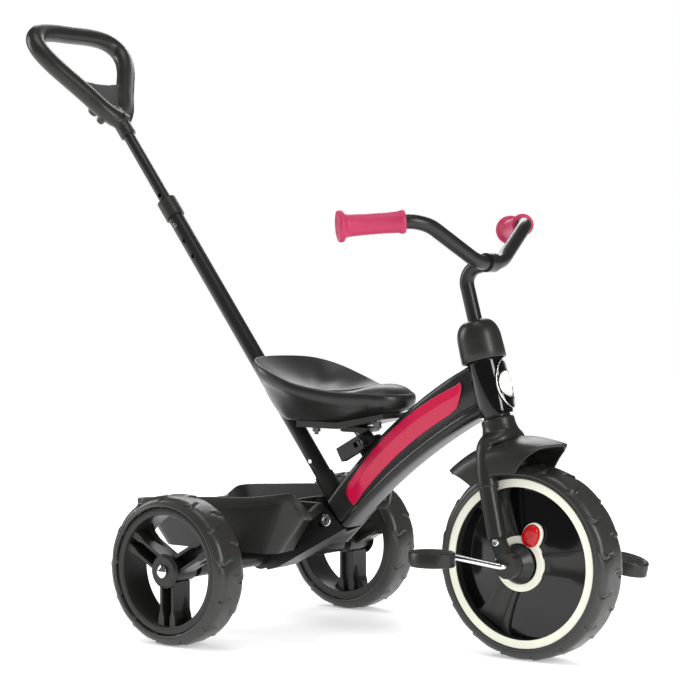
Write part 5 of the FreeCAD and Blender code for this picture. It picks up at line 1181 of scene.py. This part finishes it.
def pedal_mesh(place):
    return skin([[place.at(x * (1 - inset / 31.0), y * (1 - inset / 30.0), z)
                  for x, y in lens(PEDAL_HALF_LENGTH, PEDAL_HALF_WIDTH)] for inset, z in PEDAL_LEVELS])


def pedal_studs(place):
    """Rows of small raised bars on both treads."""
    studs = []
    for face in (-1, 1):
        for row in range(-4, 5):
            half = 22.0 * math.sqrt(max(0.0, 1 - (row / 5.2) ** 2)) * 0.9
            count = max(1, int(half // 5))
            for column in range(-count, count + 1):
                x, y = row * STUD_PITCH, column * STUD_PITCH
                if abs(y) <= half:
                    studs.append(skin([[place.at(x + dx * reach, y + dy * reach, face * z) for dx, dy in CORNERS]
                                       for reach, z in ((1.6, STUD_FOOT), (1.1, STUD_TOP))]))
    return joined(*studs)


class TRIKE_OT_pedals(bpy.types.Operator):
    """Make the pedals with their studded treads"""
    bl_idname = "trike.pedals"
    bl_label = "Pedals"

    def execute(self, context):
        for side in ("right", "left"):
            low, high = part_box(f"pedal_{side}")
            lean = math.radians(PEDAL_LEAN[side])
            place = Place((low + high) / 2, (math.sin(lean), 0, math.cos(lean)))
            piece(f"pedal_tread_{side}", joined(pedal_mesh(place), pedal_studs(place)), "black_plastic",
                  f"pedal_{side}", (f"pedal_{side}",), bevel=0.5)
        return {"FINISHED"}


# ---------------------------------------------------------------- studio
def area_light(name, place, aim, size, power):
    data = bpy.data.lights.new(name, "AREA")
    data.shape = "RECTANGLE"
    data.size, data.size_y = size
    data.energy = power
    lamp = bpy.data.objects.new(name, data)
    lamp.location = place
    lamp.rotation_euler = (Vector(aim) - Vector(place)).to_track_quat("-Z", "Y").to_euler()
    bpy.context.scene.collection.objects.link(lamp)


CAMERA_FROM_AXLE = Vector((1.9456, -2.4213, 0.5185))
CAMERA_YAW, CAMERA_DIP = math.radians(36.896), math.radians(2.031)
LIGHTS = (("top_light", (0.2, -0.3, 2.2), (1.2, 1.2)), ("front_light", (2.6, -0.5, 0.9), (0.6, 1.6)),
          ("fill_light", (-2.5, -1.1, 0.9), (0.8, 1.6)), ("rim_light", (-1.3, 1.8, 1.5), (1.8, 1.0)))
FLOOR_RADIUS = 14.0


class TRIKE_OT_studio(bpy.types.Operator):
    """Set the floor, the soft lights and the camera"""
    bl_idname = "trike.studio"
    bl_label = "Studio"

    def execute(self, context):
        scene, studio = context.scene, context.scene.trike_studio
        self.build_floor(studio)
        self.build_surround(scene, studio)
        centre = (CAD_LOW + CAD_HIGH) / 2
        for name, offset, size in LIGHTS:
            area_light(name, centre + Vector(offset), centre, size, getattr(studio, name))
        camera = bpy.data.objects.new("camera", bpy.data.cameras.new("camera"))
        camera.data.lens = studio.focal
        camera.location = CAMERA_FROM_AXLE + Vector((REAR_AXLE.x, 0, 0))
        camera.rotation_euler = (math.pi / 2 - CAMERA_DIP, 0, CAMERA_YAW)
        scene.collection.objects.link(camera)
        scene.camera = camera
        scene.view_settings.view_transform = "Standard"
        return {"FINISHED"}

    def build_floor(self, studio):
        finish = Finish("studio_floor")
        clouds = finish.noise(2.0, 2.0)
        finish.surface(Base_Color=finish.mix(clouds, shade(studio.floor, 0.99), shade(studio.floor, 1.0)),
                       Emission_Color=(1.0, 1.0, 1.0, 1.0), Emission_Strength=studio.floor_glow, Roughness=0.6)
        mesh = bmesh.new()
        bmesh.ops.create_circle(mesh, cap_ends=True, segments=96, radius=FLOOR_RADIUS)
        data = bpy.data.meshes.new("floor")
        mesh.to_mesh(data)
        mesh.free()
        data.materials.append(finish.material)
        floor = bpy.data.objects.new("floor", data)
        floor.location = (0, 0, CAD_LOW.z)
        bpy.context.scene.collection.objects.link(floor)

    def build_surround(self, scene, studio):
        world = bpy.data.worlds.new("studio")
        scene.world = world
        world.use_nodes = True
        tree = world.node_tree
        tree.nodes.clear()
        output = tree.nodes.new("ShaderNodeOutputWorld")
        seen, light, shine = (tree.nodes.new("ShaderNodeBackground") for _ in range(3))
        for background, strength in ((seen, studio.backdrop), (light, studio.surround),
                                     (shine, studio.mirrored_surround)):
            background.inputs["Strength"].default_value = strength
            background.inputs["Color"].default_value = (1, 1, 1, 1)
        ray = tree.nodes.new("ShaderNodeLightPath")
        before = light
        for name, background in (("Is Glossy Ray", shine), ("Is Camera Ray", seen)):
            choice = tree.nodes.new("ShaderNodeMixShader")
            tree.links.new(ray.outputs[name], choice.inputs[0])
            tree.links.new(before.outputs[0], choice.inputs[1])
            tree.links.new(background.outputs[0], choice.inputs[2])
            before = choice
        tree.links.new(before.outputs[0], output.inputs["Surface"])


class TRIKE_PT_panel(bpy.types.Panel):
    """Lists the steps and the settings"""
    bl_label = "Tricycle"
    bl_idname = "TRIKE_PT_panel"
    bl_space_type = "VIEW_3D"
    bl_region_type = "UI"
    bl_category = "Tricycle"

    def draw(self, context):
        for step in STEPS:
            self.layout.operator(step.bl_idname)
        for group in (context.scene.trike_finishes, context.scene.trike_shapes, context.scene.trike_studio):
            box = self.layout.box()
            for setting in group.__annotations__:
                box.prop(group, setting)


STEPS = (TRIKE_OT_studio, TRIKE_OT_frame_finishes, TRIKE_OT_tyres, TRIKE_OT_rear_rims, TRIKE_OT_front_wheel,
         TRIKE_OT_saddle, TRIKE_OT_side_panels, TRIKE_OT_fender, TRIKE_OT_basket, TRIKE_OT_fork, TRIKE_OT_head,
         TRIKE_OT_selector, TRIKE_OT_handle, TRIKE_OT_grips, TRIKE_OT_pedals)
GROUPS = {"trike_finishes": TrikeFinishes, "trike_shapes": TrikeShapes, "trike_studio": TrikeStudio}


def register():
    for item in (*GROUPS.values(), *STEPS, TRIKE_PT_panel):
        bpy.utils.register_class(item)
    for name, group in GROUPS.items():
        setattr(bpy.types.Scene, name, PointerProperty(type=group))


def unregister():
    for name in GROUPS:
        delattr(bpy.types.Scene, name)
    for item in reversed((*GROUPS.values(), *STEPS, TRIKE_PT_panel)):
        bpy.utils.unregister_class(item)


def main():
    register()
    for step in STEPS:
        category, name = step.bl_idname.split(".")
        getattr(getattr(bpy.ops, category), name)()
    bpy.context.view_layer.update()


if __name__ == "__main__":
    main()
